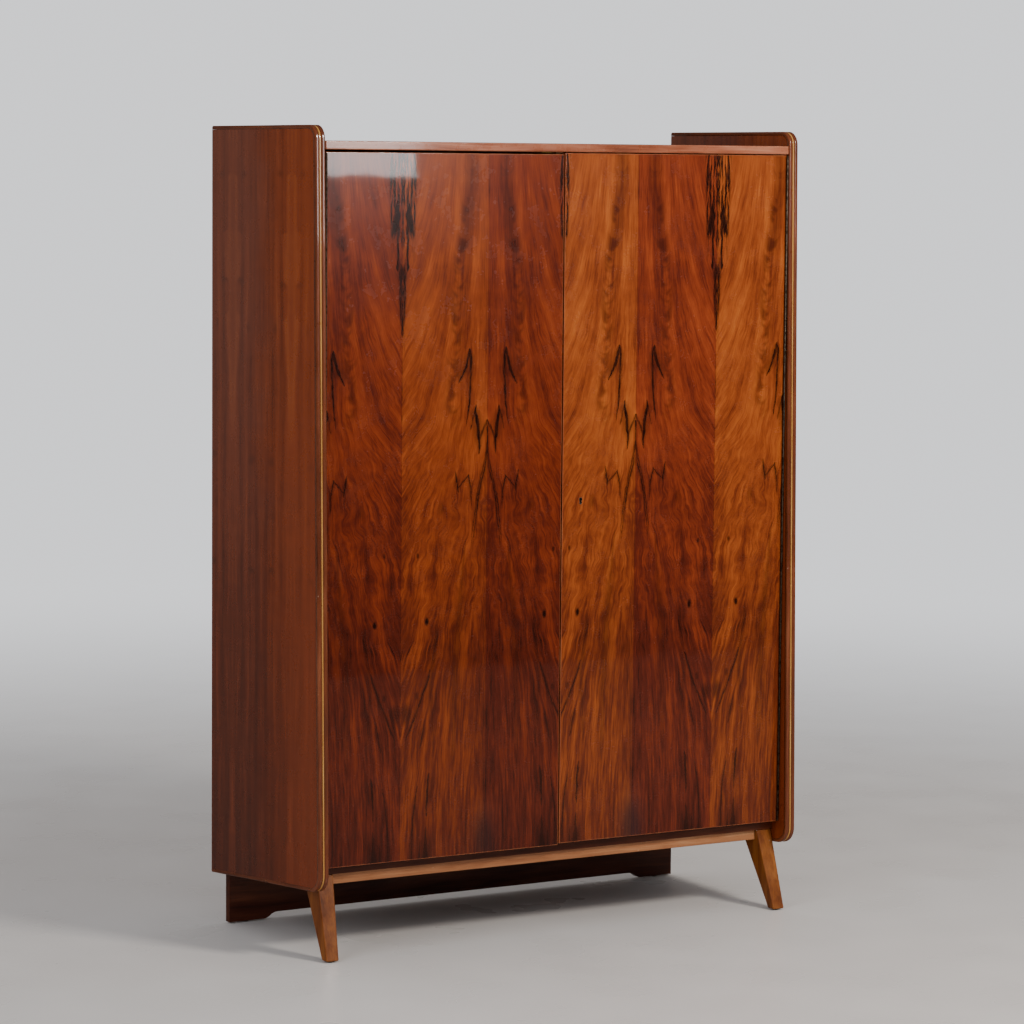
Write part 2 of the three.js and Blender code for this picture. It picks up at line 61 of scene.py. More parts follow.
# %% [markdown]
# ## Four small tools
# Colours are written as they look on a screen, so one function turns a hex value into the linear light that the
# renderer wants. A second one adds a node to any tree, with its settings and links. The third makes a bare material
# with a principled shader, and the fourth feeds that shader its colour, roughness and the rest.

# %% Colour and nodes
def linear(hex_value):
    """A screen colour such as '#8c3d14' as linear RGBA."""
    parts = [int(hex_value[i:i + 2], 16) / 255 for i in (1, 3, 5)]
    return tuple(c / 12.92 if c <= 0.04045 else ((c + 0.055) / 1.055) ** 2.4 for c in parts) + (1.0,)


CHOICES = {"Math": "operation", "VectorMath": "operation", "MapRange": "interpolation_type", "Mix": "data_type"}


def add(tree, kind, *values, out=0, stops=(), points=(), ports=(), **settings):
    """Adds one node to a tree and returns one of its outputs. A word after a colon is the node's main choice. Values
    and links fill the sockets in order, or by name through ports. Stops fill a colour ramp, points a float curve."""
    kind, _, choice = kind.partition(":")
    node = tree.nodes.new(kind if "Node" in kind else "ShaderNode" + kind)
    if choice:
        settings[CHOICES[kind]] = choice
    for name, value in settings.items():
        setattr(node, name, value)
    in_order = [socket for socket in node.inputs if socket.enabled]
    by_name = [(node.inputs[name], value) for name, value in dict(ports).items()]
    for socket, value in [*zip(in_order, values), *by_name]:
        if isinstance(value, bpy.types.NodeSocket):
            tree.links.new(value, socket)
        elif value is not None:
            socket.default_value = value
    for _ in stops[2:]:
        node.color_ramp.elements.new(0.5)
    for i, (place, hex_value) in enumerate(stops):
        node.color_ramp.elements[i].position = place
        node.color_ramp.elements[i].color = linear(hex_value)
    if points:
        spots = node.mapping.curves[0].points
        for _ in points[2:]:
            spots.new(0.5, 0.5)
        for spot, place in zip(spots, sorted(points)):
            spot.location, spot.handle_type = place, "VECTOR"
        node.mapping.update()
    if isinstance(out, str):
        return node.outputs[out]
    shown = [socket for socket in node.outputs if socket.enabled]
    return shown[out] if shown else node


def new_material(name):
    """A material with a principled shader, its tree, and its own short way to add nodes."""
    material = bpy.data.materials.new(name)
    material.use_nodes = True
    return material, functools.partial(add, material.node_tree)


def feed(material, **sockets):
    """Feeds the principled shader by socket names, with underscores for spaces."""
    shader = material.node_tree.nodes["Principled BSDF"]
    for name, value in sockets.items():
        socket = shader.inputs[name.replace("_", " ")]
        if isinstance(value, bpy.types.NodeSocket):
            material.node_tree.links.new(value, socket)
        else:
            socket.default_value = value
    return material


# %% [markdown]
# ## The door veneer
# Six leaves were sliced from one walnut log and laid like the pages of a book, so each leaf mirrors the next one.
# That is why the whole figure can be drawn once, over one leaf, and folded: a ping-pong of the distance from the
# middle gives the place across the leaf. The seams at 186 mm from the gap are the ones where the dark spikes meet.
# Wood grain is a bundle of lines that lean and fan. The lean is written as a slope for each height, and a noise that
# is stretched along the grain is slid sideways by that slope. Because a slide can't go on for ever, two noises take
# turns, each fading out before it has slid too far. The almost black veins are drawn one by one, as curves that give
# for each height the distance from the seam and the half width, in millimetres.

# %% Leaf sizes and veins, in millimetres
SEAM = 186.0  # from the gap between the doors to the seam where the spikes meet
LEAF = 206.0  # width of a full leaf of veneer
DOOR_FOOT, DOOR_HEAD = 190.0, 1690.0  # heights that the curves cover

# Each vein: how dark it is, and its (height, distance from the seam, half width) from the top down.
VEINS = [
    (1.0, [(1267, 45, 0.6), (1252, 47, 3.6), (1236, 51, 4.2), (1219, 58, 3.4), (1204, 66, 2.2), (1192, 72, 0)]),
    (1.0, [(1268, 44, 0.6), (1250, 41, 3.4), (1222, 41, 2.4), (1182, 43, 1.8), (1150, 45, 1.5), (1092, 53, 0)]),
    (1.0, [(1150, 28, 0.5), (1134, 29, 4.4), (1110, 23, 5.2), (1086, 22, 4.6), (1064, 19, 2.2), (1040, 21, 0)]),
    (0.8, [(1141, 31, 0.5), (1126, 34, 2.2), (1104, 38, 1.0), (1092, 41, 0)]),
    (0.85, [(1118, 0, 1.5), (1108, 4, 3.2), (1094, 12, 3.4), (1077, 18, 3.0), (1056, 23, 0)]),
    (0.9, [(1104, 0, 1.8), (1058, 0, 1.5), (1034, 2, 1.0), (1014, 5, 1.9), (982, 15, 1.9), (952, 21, 1.5),
           (900, 28, 0.9), (820, 38, 0)]),
    (0.8, [(1064, 1, 0.4), (1036, 4, 1.3), (1010, 11, 1.4), (980, 19, 1.4), (940, 27, 1.0), (880, 35, 0.6),
           (820, 41, 0)]),
    (0.9, [(1012, 77, 0.4), (992, 74, 2.2), (976, 71, 2.8), (966, 70, 0)]),
    (0.9, [(999, 46, 1.2), (990, 54, 1.8), (982, 62, 1.7), (974, 71, 1.4), (970, 74, 0)]),
    (0.9, [(1000, 46, 1.0), (986, 43, 2.2), (966, 39, 1.6), (926, 37, 0)]),
    (0.8, [(594, 135, 0.6), (577, 139, 2.8), (546, 151, 2.2), (508, 167, 2.2), (476, 182, 1.9), (446, 196, 0)]),
    (0.7, [(488, 148, 0.4), (466, 152, 2.8), (446, 156, 2.4), (424, 161, 0)]),
    (0.9, [(374, 136, 0.6), (360, 139, 3.0), (328, 141, 3.2), (300, 142, 1.8), (278, 142, 0)]),
    (0.8, [(352, 163, 0.4), (318, 170, 1.7), (276, 175, 1.7), (230, 177, 1.5), (190, 177, 1.5)]),
    (0.8, [(262, 142, 0.4), (236, 143, 3.0), (212, 144, 6.5), (190, 145, 9.0)]),
    (0.4, [(880, 50, 0), (760, 62, 5), (640, 72, 8), (540, 76, 7), (440, 78, 4), (360, 80, 0)]),
    (0.4, [(700, 118, 0), (640, 124, 4), (560, 134, 5), (480, 128, 3), (400, 126, 0)]),
]
# Knots: distance from the seam, height, half width, half height, darkness.
KNOTS = [(166, 836, 3.5, 6, 0.8), (144, 697, 5, 9, 1.0), (111, 934, 8, 13, 0.35), (192, 505, 12, 20, 0.6),
         (167, 540, 5, 8, 0.5)]

# How the figure changes with height: (height, value) points, from the foot of the door to its head.
CURL = [(190, 8), (420, 8), (640, 22), (760, 46), (900, 52), (980, 34), (1080, 26), (1250, 20), (1400, 12), (1690, 8)]
OUTER_LEAN = [(190, 0.03), (330, 0.06), (450, 0.2), (560, 0.32), (680, 0.36), (800, 0.22), (900, 0.5), (1010, 0.85),
              (1120, 0.66), (1250, 0.5), (1400, 0.4), (1560, 0.3), (1690, 0.24)]
INNER_LEAN = [(190, 0.02), (560, 0.07), (700, 0.14), (1000, 0.2), (1060, 0.1), (1690, 0.02)]
RINGS = [(190, 1.1), (420, 1.05), (620, 0.9), (760, 0.8), (1100, 0.75), (1690, 0.8)]
CLOUDS = [(190, 0.15), (600, 0.22), (760, 0.5), (940, 0.5), (1100, 0.35), (1260, 0.42), (1500, 0.28), (1690, 0.2)]
DUSK = [(190, 0.25), (260, 0.21), (400, 0.2), (560, 0.24), (700, 0.18), (860, 0.12), (960, 0.06), (1100, 0.02),
        (1690, 0.0)]
AXIS = [(190, 84), (1150, 84), (1250, 80), (1350, 76), (1420, 71), (1500, 58), (1600, 46), (1690, 40)]
AXIS_DARK = [(190, 0), (1060, 0), (1150, 0.7), (1300, 0.9), (1690, 1.0)]
AXIS_SOLID = [(190, 0), (1430, 0), (1500, 0.5), (1690, 0.55)]
SOOT_REACH = [(190, 0), (1195, 0), (1215, 2.5), (1330, 5), (1385, 9), (1425, 9), (1450, 25), (1520, 29), (1600, 31),
              (1690, 34)]
SOOT_GATE = [(190, 0.7), (1190, 0.6), (1240, 0.5), (1330, 0.45), (1420, 0.43), (1450, 0.49), (1560, 0.45),
             (1620, 0.44), (1690, 0.49)]
RED_LEAF = ("#300e07", "#591e10", "#782d14", "#903d1a", "#a85224")
ORANGE_LEAF = ("#381408", "#652812", "#893f17", "#a2521e", "#b6682c")
STAIN_HEIGHT = 222.0
SLIDE = 320.0  # millimetres of height before a slid noise hands over to the next one
print(len(VEINS), "veins and", len(KNOTS), "knots, over leaves of", LEAF, "mm")


# %% Figured walnut under gloss lacquer
def figured_walnut(name, tint, darker, blend):
    """Walnut veneer in mirrored leaves under polished lacquer: deep, clear and almost wet to the eye. The tint darkens
    the whole door, and the blend brings the orange and the red leaves closer together."""
    material, put = new_material(name)
    mm = put("VectorMath:SCALE", put("TexCoord", out="Object"), 1000.0)
    x, y, z = put("SeparateXYZ", mm).node.outputs

    # Place across the leaf, with a little waver so that no two leaves are quite the same.
    fold = put("Math:PINGPONG", put("Math:SUBTRACT", put("Math:ABSOLUTE", x), SEAM), LEAF)
    waver = put("Math:SUBTRACT", put("TexNoise", mm, 0.011, 2), 0.5)
    height = put("Math:MULTIPLY_ADD", waver, 14.0, z)
    level = put("MapRange", height, DOOR_FOOT, DOOR_HEAD)

    def along(points, high):
        """A value for each height, from (height in mm, value) points."""
        span = DOOR_HEAD - DOOR_FOOT
        spots = [((h - DOOR_FOOT) / span, value / high) for h, value in points]
        return put("Math:MULTIPLY", put("FloatCurve", None, level, points=spots), high)

    leaf_place = put("CombineXYZ", fold, 0.0, height)
    curl = put("TexNoise", put("Mapping", leaf_place, None, None, (0.022, 1, 0.014)), 1.0, 2)
    across = put("Math:MULTIPLY_ADD", put("Math:SUBTRACT", curl, 0.5), along(CURL, 60), fold)

    # The lean of the grain: none on the axis of the flame, most at the outer seam.
    outer = put("Math:POWER", put("MapRange:SMOOTHSTEP", across, 30, 215), 0.8)
    near = put("Math:MULTIPLY", put("MapRange:SMOOTHSTEP", fold, 0, 40), along(INNER_LEAN, 1.0))
    lean = put("Math:MAXIMUM", put("Math:MULTIPLY", outer, along(OUTER_LEAN, 1.0)), near)

    def slid(offset, scale, stretch, detail, rough, seed):
        """One of the two noises that take turns, and how much it counts at each height."""
        turns = put("Math:ADD", put("Math:DIVIDE", height, SLIDE), offset)
        phase = put("Math:SUBTRACT", put("Math:FRACT", turns), 0.5)
        place = put("Math:MULTIPLY_ADD", put("Math:MULTIPLY", phase, SLIDE), lean, across)
        layer = put("Math:MULTIPLY_ADD", put("Math:FLOOR", turns), 7.3, seed)
        along_grain = put("Math:MULTIPLY", height, scale / stretch)
        spot = put("CombineXYZ", put("Math:MULTIPLY", place, scale), layer, along_grain)
        weight = put("Math:MULTIPLY_ADD", put("Math:ABSOLUTE", phase), -2.0, 1.0)
        return put("TexNoise", spot, 1.0, detail, rough), weight

    def grain(scale, stretch, detail, rough, seed):
        """Noise that leans with the grain, at a scale for each millimetre and stretched along the grain."""
        first, weight = slid(0.0, scale, stretch, detail, rough, seed)
        second, _ = slid(0.5, scale, stretch, detail, rough, seed + 31.7)
        return put("Mix:FLOAT", weight, second, first)

    bands = grain(1 / 34, 9, 3.0, 0.55, 1.0)   # broad flames, about 34 mm
    lines = grain(1 / 6.5, 16, 3.0, 0.62, 5.0)   # growth rings, 2 to 6 mm apart
    hairs = grain(1 / 2.4, 26, 2.0, 0.6, 9.0)   # fine lines, as thin as a hair is seen from across a room
    cloud_place = put("CombineXYZ", put("Math:MULTIPLY", across, 0.045), 4.0, put("Math:MULTIPLY", height, 0.03))
    mottle = put("TexNoise", cloud_place, 1.0, 3, 0.6)
    pores = put("TexNoise", put("Mapping", mm, None, None, (0.9, 0.9, 0.045)), 1.0, 2, 0.6)  # vessel lines

    # Ground colour: an orange leaf beside a redder one, as the light meets the grain from one side or the other.
    leaf_count = put("Math:FLOOR", put("Math:DIVIDE", put("Math:ADD", put("Math:ABSOLUTE", x), LEAF - SEAM), LEAF))
    warm = put("Math:MODULO", put("Math:ADD", leaf_count, put("Math:GREATER_THAN", x, 0.0)), 2.0)
    tone = put("Math:MULTIPLY_ADD", put("Math:SUBTRACT", bands, 0.5), 1.0, 0.5)
    tone = put("Math:MULTIPLY_ADD", put("Math:SUBTRACT", lines, 0.5), along(RINGS, 2.0), tone)
    tone = put("Math:MULTIPLY_ADD", put("Math:SUBTRACT", hairs, 0.5), 0.55, tone)
    tone = put("Math:MULTIPLY_ADD", put("Math:SUBTRACT", mottle, 0.5), along(CLOUDS, 2.0), tone)
    tone = put("Math:MULTIPLY_ADD", warm, 0.07, tone)
    tone = put("Math:SUBTRACT", tone, along(DUSK, 1.0), use_clamp=True)
    red_leaf, orange_leaf = (put("ValToRGB", tone, stops=list(zip((0.0, 0.3, 0.52, 0.75, 1.0), tones)))
                             for tones in (RED_LEAF, ORANGE_LEAF))
    colour = put("Mix:RGBA", put("Math:MULTIPLY_ADD", warm, 1.0 - 2.0 * blend, blend), red_leaf, orange_leaf)

    # The axis of the flame: a dusky streak with crescent marks, drifting away from the seam on its way down.
    side = put("Math:SUBTRACT", across, along(AXIS, 120))
    bowl = put("Math:SUBTRACT", height, put("Math:MULTIPLY", put("Math:MULTIPLY", side, side), 0.05))
    bowl_place = put("CombineXYZ", put("Math:MULTIPLY", side, 0.02), 3.0, put("Math:MULTIPLY", bowl, 0.028))
    marks = put("MapRange:SMOOTHSTEP", put("TexNoise", bowl_place, 1.0, 2, 0.6), 0.42, 0.62)
    marks = put("Math:MULTIPLY", put("Math:MAXIMUM", marks, along(AXIS_SOLID, 1.0)), along(AXIS_DARK, 1.0))
    streak = put("Math:MULTIPLY", put("MapRange:SMOOTHSTEP", put("Math:ABSOLUTE", side), 26, 2), marks)
    colour = put("Mix:RGBA", put("Math:MULTIPLY", streak, 0.85), colour, linear("#3d1208"))

    # Brushy black streaks on the outer seam.
    inward = put("Math:SUBTRACT", LEAF, fold)
    slanted = put("Math:MULTIPLY", put("Math:MULTIPLY_ADD", height, -0.05, across), 0.17)
    brush = put("TexNoise", put("CombineXYZ", slanted, 0.0, put("Math:MULTIPLY", height, 0.014)), 1.0, 4, 0.62)
    within = put("MapRange:SMOOTHSTEP", put("Math:SUBTRACT", inward, along(SOOT_REACH, 40)), 4, -3)
    strokes = put("MapRange:SMOOTHSTEP", put("Math:SUBTRACT", brush, along(SOOT_GATE, 1.0)), -0.04, 0.08)

    # Every vein is as dark as its nearest curve says, with a ragged edge.
    fray = put("TexNoise", put("Mapping", mm, None, None, (0.2, 0.2, 0.05)), 1.0, 4, 0.7)
    ragged = put("Math:MULTIPLY_ADD", put("Math:SUBTRACT", fray, 0.5), 9.0, fold)
    dark = put("Math:MULTIPLY", within, strokes)
    for strength, points in VEINS:
        off = put("Math:ABSOLUTE", put("Math:SUBTRACT", ragged, along([(h, s) for h, s, w in points], LEAF)))
        ends = [(points[0][0] + 4, 0.0)] + [(h, w) for h, s, w in points]
        if points[-1][0] > DOOR_FOOT:
            ends += [(points[-1][0] - 4, 0.0)]
        width = along(ends, 10.0)
        wide, narrow = (put("Math:MULTIPLY", width, part) for part in (1.35, 0.5))
        core = put("MapRange:SMOOTHSTEP", off, wide, narrow, 0.0, strength)
        halo = put("MapRange:SMOOTHSTEP", off, put("Math:MULTIPLY", width, 4.5), 0.0, 0.0, strength * 0.55)
        core = put("Math:MAXIMUM", core, halo)
        dark = put("Math:MAXIMUM", dark, put("Math:MULTIPLY", core, put("MapRange:SMOOTHSTEP", width, 0.1, 0.6)))
    for s, h, rx, rz, strength in KNOTS:
        beside, above = put("Math:SUBTRACT", ragged, s), put("Math:SUBTRACT", height, h)
        spot = put("CombineXYZ", put("Math:DIVIDE", beside, rx), 0.0, put("Math:DIVIDE", above, rz))
        far = put("VectorMath:LENGTH", spot)
        dark = put("Math:MAXIMUM", dark, put("MapRange:SMOOTHSTEP", far, 1.5, 0.4, 0.0, strength))
    dark = put("Math:MULTIPLY", dark, put("MapRange:SMOOTHSTEP", hairs, 0.3, 0.55, 0.6, 1.0))
    colour = put("Mix:RGBA", dark, colour, linear("#1d0703"))

    # A blue-black stain low down on the inner seams, and the hairline of the glued joints.
    above = put("Math:DIVIDE", put("Math:SUBTRACT", height, STAIN_HEIGHT), 105.0)
    blot = put("VectorMath:LENGTH", put("CombineXYZ", put("Math:DIVIDE", fold, 46.0), 0.0, above))
    uneven = put("MapRange:SMOOTHSTEP", bands, 0.3, 0.6, 0.45, 0.8)
    stain = put("Math:MULTIPLY", put("MapRange:SMOOTHSTEP", blot, 1.2, 0.1), uneven)
    colour = put("Mix:RGBA", stain, colour, linear("#2a1a1c"))
    joint = put("Math:MAXIMUM", put("MapRange:SMOOTHSTEP", fold, 0.9, 0.2),
                put("MapRange:SMOOTHSTEP", inward, 0.9, 0.2))
    fleck = put("MapRange:SMOOTHSTEP", pores, 0.36, 0.3)
    shade = put("Math:MAXIMUM", put("Math:MULTIPLY", joint, 0.35), put("Math:MULTIPLY", fleck, 0.3))
    colour = put("Mix:RGBA", shade, colour, linear("#2e0e05"))
    colour = put("Mix:RGBA", darker, colour, linear(tint), blend_type="MULTIPLY")

    # Lacquer: flat but never perfectly, so reflections waver at their edges.
    swell = put("TexNoise", mm, 0.006, 3, 0.6)
    dust = put("TexNoise", mm, 0.35, 2, 0.6)
    relief = put("Math:MULTIPLY_ADD", dust, 0.02, swell)
    wave = put("Bump", ports={"Height": relief, "Strength": 0.25, "Distance": 0.0009})
    worn = put("MapRange:SMOOTHSTEP", put("TexNoise", mm, 0.02, 4, 0.7), 0.4, 0.75)
    sheen = put("Math:MULTIPLY_ADD", worn, 0.06, 0.24)
    return feed(material, Base_Color=colour, Roughness=sheen, Normal=wave, Coat_Normal=wave, Coat_Weight=0.85,
                Coat_Roughness=0.035, Coat_IOR=1.5, IOR=1.45, Specular_IOR_Level=0.35)


left_veneer = figured_walnut("walnut_veneer_left_door", "#cfa898", 0.45, 0.2)
right_veneer = figured_walnut("walnut_veneer_right_door", "#ffffff", 0.0, 0.06)
print("door veneer nodes:", len(right_veneer.node_tree.nodes))

# %% [markdown]
# ## Plain woods
# The other woods have a quieter figure, so one recipe serves them all: a broad noise for the colour of the board, a
# finer one for the growth rings, both stretched along the grain, and thin dark vessel lines. What changes is the
# direction of the grain, the ring width in millimetres, the colours and how the surface was finished.

# %% One recipe for plain boards
def plain_wood(name, tones, grain, ring=5.0, gloss=0.0, rough=0.45, figure=1.0, specks=0.0, swept=False):
    """Straight grain along axis 0, 1 or 2, or along the path of a swept moulding. Ring is the width of a growth ring
    in millimetres, gloss the weight of the lacquer, figure how far the grain wanders, specks the chips in it."""
    material, put = new_material(name)
    place = put("TexCoord", out="Object")
    if swept:
        run = put("CombineXYZ", 0.0, 0.0, put("Attribute", attribute_name="run", out="Fac"))
        place = put("VectorMath:ADD", put("Attribute", attribute_name="across", out="Vector"), run)
    mm = put("VectorMath:SCALE", place, 1000.0)
    drift = put("VectorMath:SUBTRACT", put("TexNoise", mm, 0.0035, 2.0, out=1), (0.5, 0.5, 0.5))
    bent = put("VectorMath:ADD", mm, put("VectorMath:SCALE", drift, 30.0 * figure))

    def stretched(across, along, vector=bent):
        return put("Mapping", vector, None, None, tuple(1 / along if i == grain else 1 / across for i in range(3)))

    broad = put("TexNoise", stretched(ring * 7, ring * 60), 1.0, 3.0, 0.55)
    rings = put("TexNoise", stretched(ring, ring * 40), 1.0, 4.0, 0.62)
    pores = put("TexNoise", stretched(0.9, 18.0, mm), 1.0, 2.0, 0.6)
    tone = put("Math:MULTIPLY_ADD", put("Math:SUBTRACT", broad, 0.5), 1.5, 0.5)
    tone = put("Math:MULTIPLY_ADD", put("Math:SUBTRACT", rings, 0.5), 0.8, tone, use_clamp=True)
    colour = put("ValToRGB", tone, stops=[(i / (len(tones) - 1), c) for i, c in enumerate(tones)])
    vessel = put("MapRange:SMOOTHSTEP", pores, 0.37, 0.31, 0.0, 0.35)
    colour = put("Mix:RGBA", vessel, colour, linear(tones[0]))
    if specks:
        chips = put("TexNoise", mm, 0.22, 3.0, 0.7)
        patch = put("MapRange:SMOOTHSTEP", put("TexNoise", mm, 0.006, 1.0), 0.5, 0.62)
        spot = put("Math:MULTIPLY", put("MapRange:SMOOTHSTEP", chips, 0.68, 0.72), patch)
        colour = put("Mix:RGBA", put("Math:MULTIPLY", spot, specks), colour, linear("#d8b79c"))
    dull = put("MapRange", put("TexNoise", mm, 0.03, 3.0, 0.65), 0.3, 0.7, rough - 0.05, rough + 0.07)
    relief = put("Math:MULTIPLY_ADD", pores, 0.25, put("TexNoise", mm, 0.008, 2.0))
    bump = put("Bump", ports={"Height": relief, "Strength": 0.22, "Distance": 0.0006})
    return feed(material, Base_Color=colour, Roughness=dull, Normal=bump, Coat_Normal=bump, Coat_Weight=gloss,
                Coat_Roughness=0.06, IOR=1.45, Specular_IOR_Level=0.4)


ALONG_X, ALONG_Y, ALONG_Z = 0, 1, 2
lipping_wood = plain_wood("solid_walnut_lipping", ["#3c1a0e", "#5e2c17", "#743a20", "#8c5032"], ALONG_Z,
                          ring=3.0, gloss=0.8, rough=0.3, figure=0.6, specks=0.6, swept=True)
edge_wood = plain_wood("lacquered_walnut_edge", ["#4a2114", "#7a4028", "#96593a"], ALONG_Z,
                       ring=3.0, gloss=0.8, rough=0.3, figure=0.6)
# The rounded arrises of the doors get a lighter tone: partly wear of the lacquer, partly a painted highlight along
# each edge.
highlit_worn_arris = plain_wood("worn_arris_painted_highlight", ["#6b3018", "#985030", "#b97748"], ALONG_Z,
                        ring=3.0, gloss=0.9, rough=0.25, figure=0.5)
pale_string = plain_wood("pale_maple_string", ["#96602a", "#b98443", "#cf9c58"], ALONG_Z,
                         ring=2.5, gloss=0.7, rough=0.3, figure=0.4, swept=True)
top_edge_wood = plain_wood("walnut_edge_band", ["#5c2a18", "#8e4c30", "#a8664a", "#bf8465"], ALONG_X,
                           ring=3.0, gloss=0.8, rough=0.28, figure=0.5)
leg_wood = plain_wood("satin_walnut", ["#4a230b", "#713a15", "#8b4f1d", "#a4662b"], ALONG_Z,
                      ring=3.5, gloss=0.35, rough=0.36, figure=0.8)
rail_wood = plain_wood("satin_walnut_rail", ["#6a3a20", "#945c38", "#ab7148", "#be8a60"], ALONG_X,
                       ring=3.5, gloss=0.3, rough=0.4, figure=0.7, specks=0.9)
dark_wood = plain_wood("dark_stained_beech", ["#280d06", "#42190b", "#552611", "#6a341a"], ALONG_X,
                       ring=4.0, gloss=0.3, rough=0.38, figure=0.6)
dark_upright = plain_wood("dark_stained_beech_upright", ["#34140a", "#52240f", "#683318"], ALONG_Z,
                          ring=4.0, gloss=0.2, rough=0.4, figure=0.6)
inside_upright = plain_wood("gaboon_veneer_upright", ["#7d5030", "#a8764a", "#bd8d60", "#cda377"], ALONG_Z,
                            ring=7.0, gloss=0.0, rough=0.5, figure=1.6)
inside_level = plain_wood("gaboon_veneer_level", ["#7d5030", "#a8764a", "#bd8d60", "#cda377"], ALONG_X,
                          ring=7.0, gloss=0.0, rough=0.5, figure=1.6)
inside_deep = plain_wood("beech_cleat", ["#94683f", "#b98a5c", "#c99e72"], ALONG_Y,
                         ring=5.0, gloss=0.0, rough=0.55, figure=0.6)
plywood = plain_wood("birch_plywood_back", ["#8a6440", "#9c7449", "#a67e53", "#b18b62"], ALONG_Z,
                     ring=5.0, gloss=0.0, rough=0.62, figure=1.4)
print("plain woods made")

# %% [markdown]
# ## The side veneer
# The outer faces of the side panels carry a straight, plum-brown walnut. Its leaves are 135 mm wide and mirrored
# too, and the knife met a few small knots, which come back in every leaf at the same height. Paler tongues run down
# from them along every second seam.

# %% Straight walnut for the side panels
SIDE_LEAF, SIDE_SEAM = 135.0, 15.0
SIDE_FOOT, SIDE_HEAD = 100.0, 1740.0  # heights that the curves cover
SIDE_BEND = 26.0  # how far the grain wanders
SIDE_TONES = [(0.0, "#2c0f07"), (0.3, "#5a220f"), (0.55, "#80391b"), (0.8, "#9a4e25"), (1.0, "#b06836")]
# Width of the pale tongues for each height, as a part of the widest, in three steps from the top down.
TONGUE = 46.0
TONGUES = [(1740, 0.1), (1632, 0.1), (1628, 0.5), (1506, 0.52), (1504, 1.0), (1404, 0.72), (1400, 0.36), (1338, 0.4),
           (1334, 0.76), (1200, 0.38), (1060, 0.06), (100, 0.02)]
# How much darker the panel gets towards the foot, from 0 at the foot to 1 at the head.
SIDE_DUSK = [(0.0, 0.22), (0.2, 0.2), (0.42, 0.12), (0.55, 0.06), (0.75, 0.03), (1.0, 0.0)]
# Knots: place across the leaf, height, half width, half height.
SIDE_KNOTS = [(84, 1628, 9, 6), (100, 1400, 12, 5), (60, 1310, 7, 9), (44, 1026, 11, 7), (45, 796, 9, 5)]


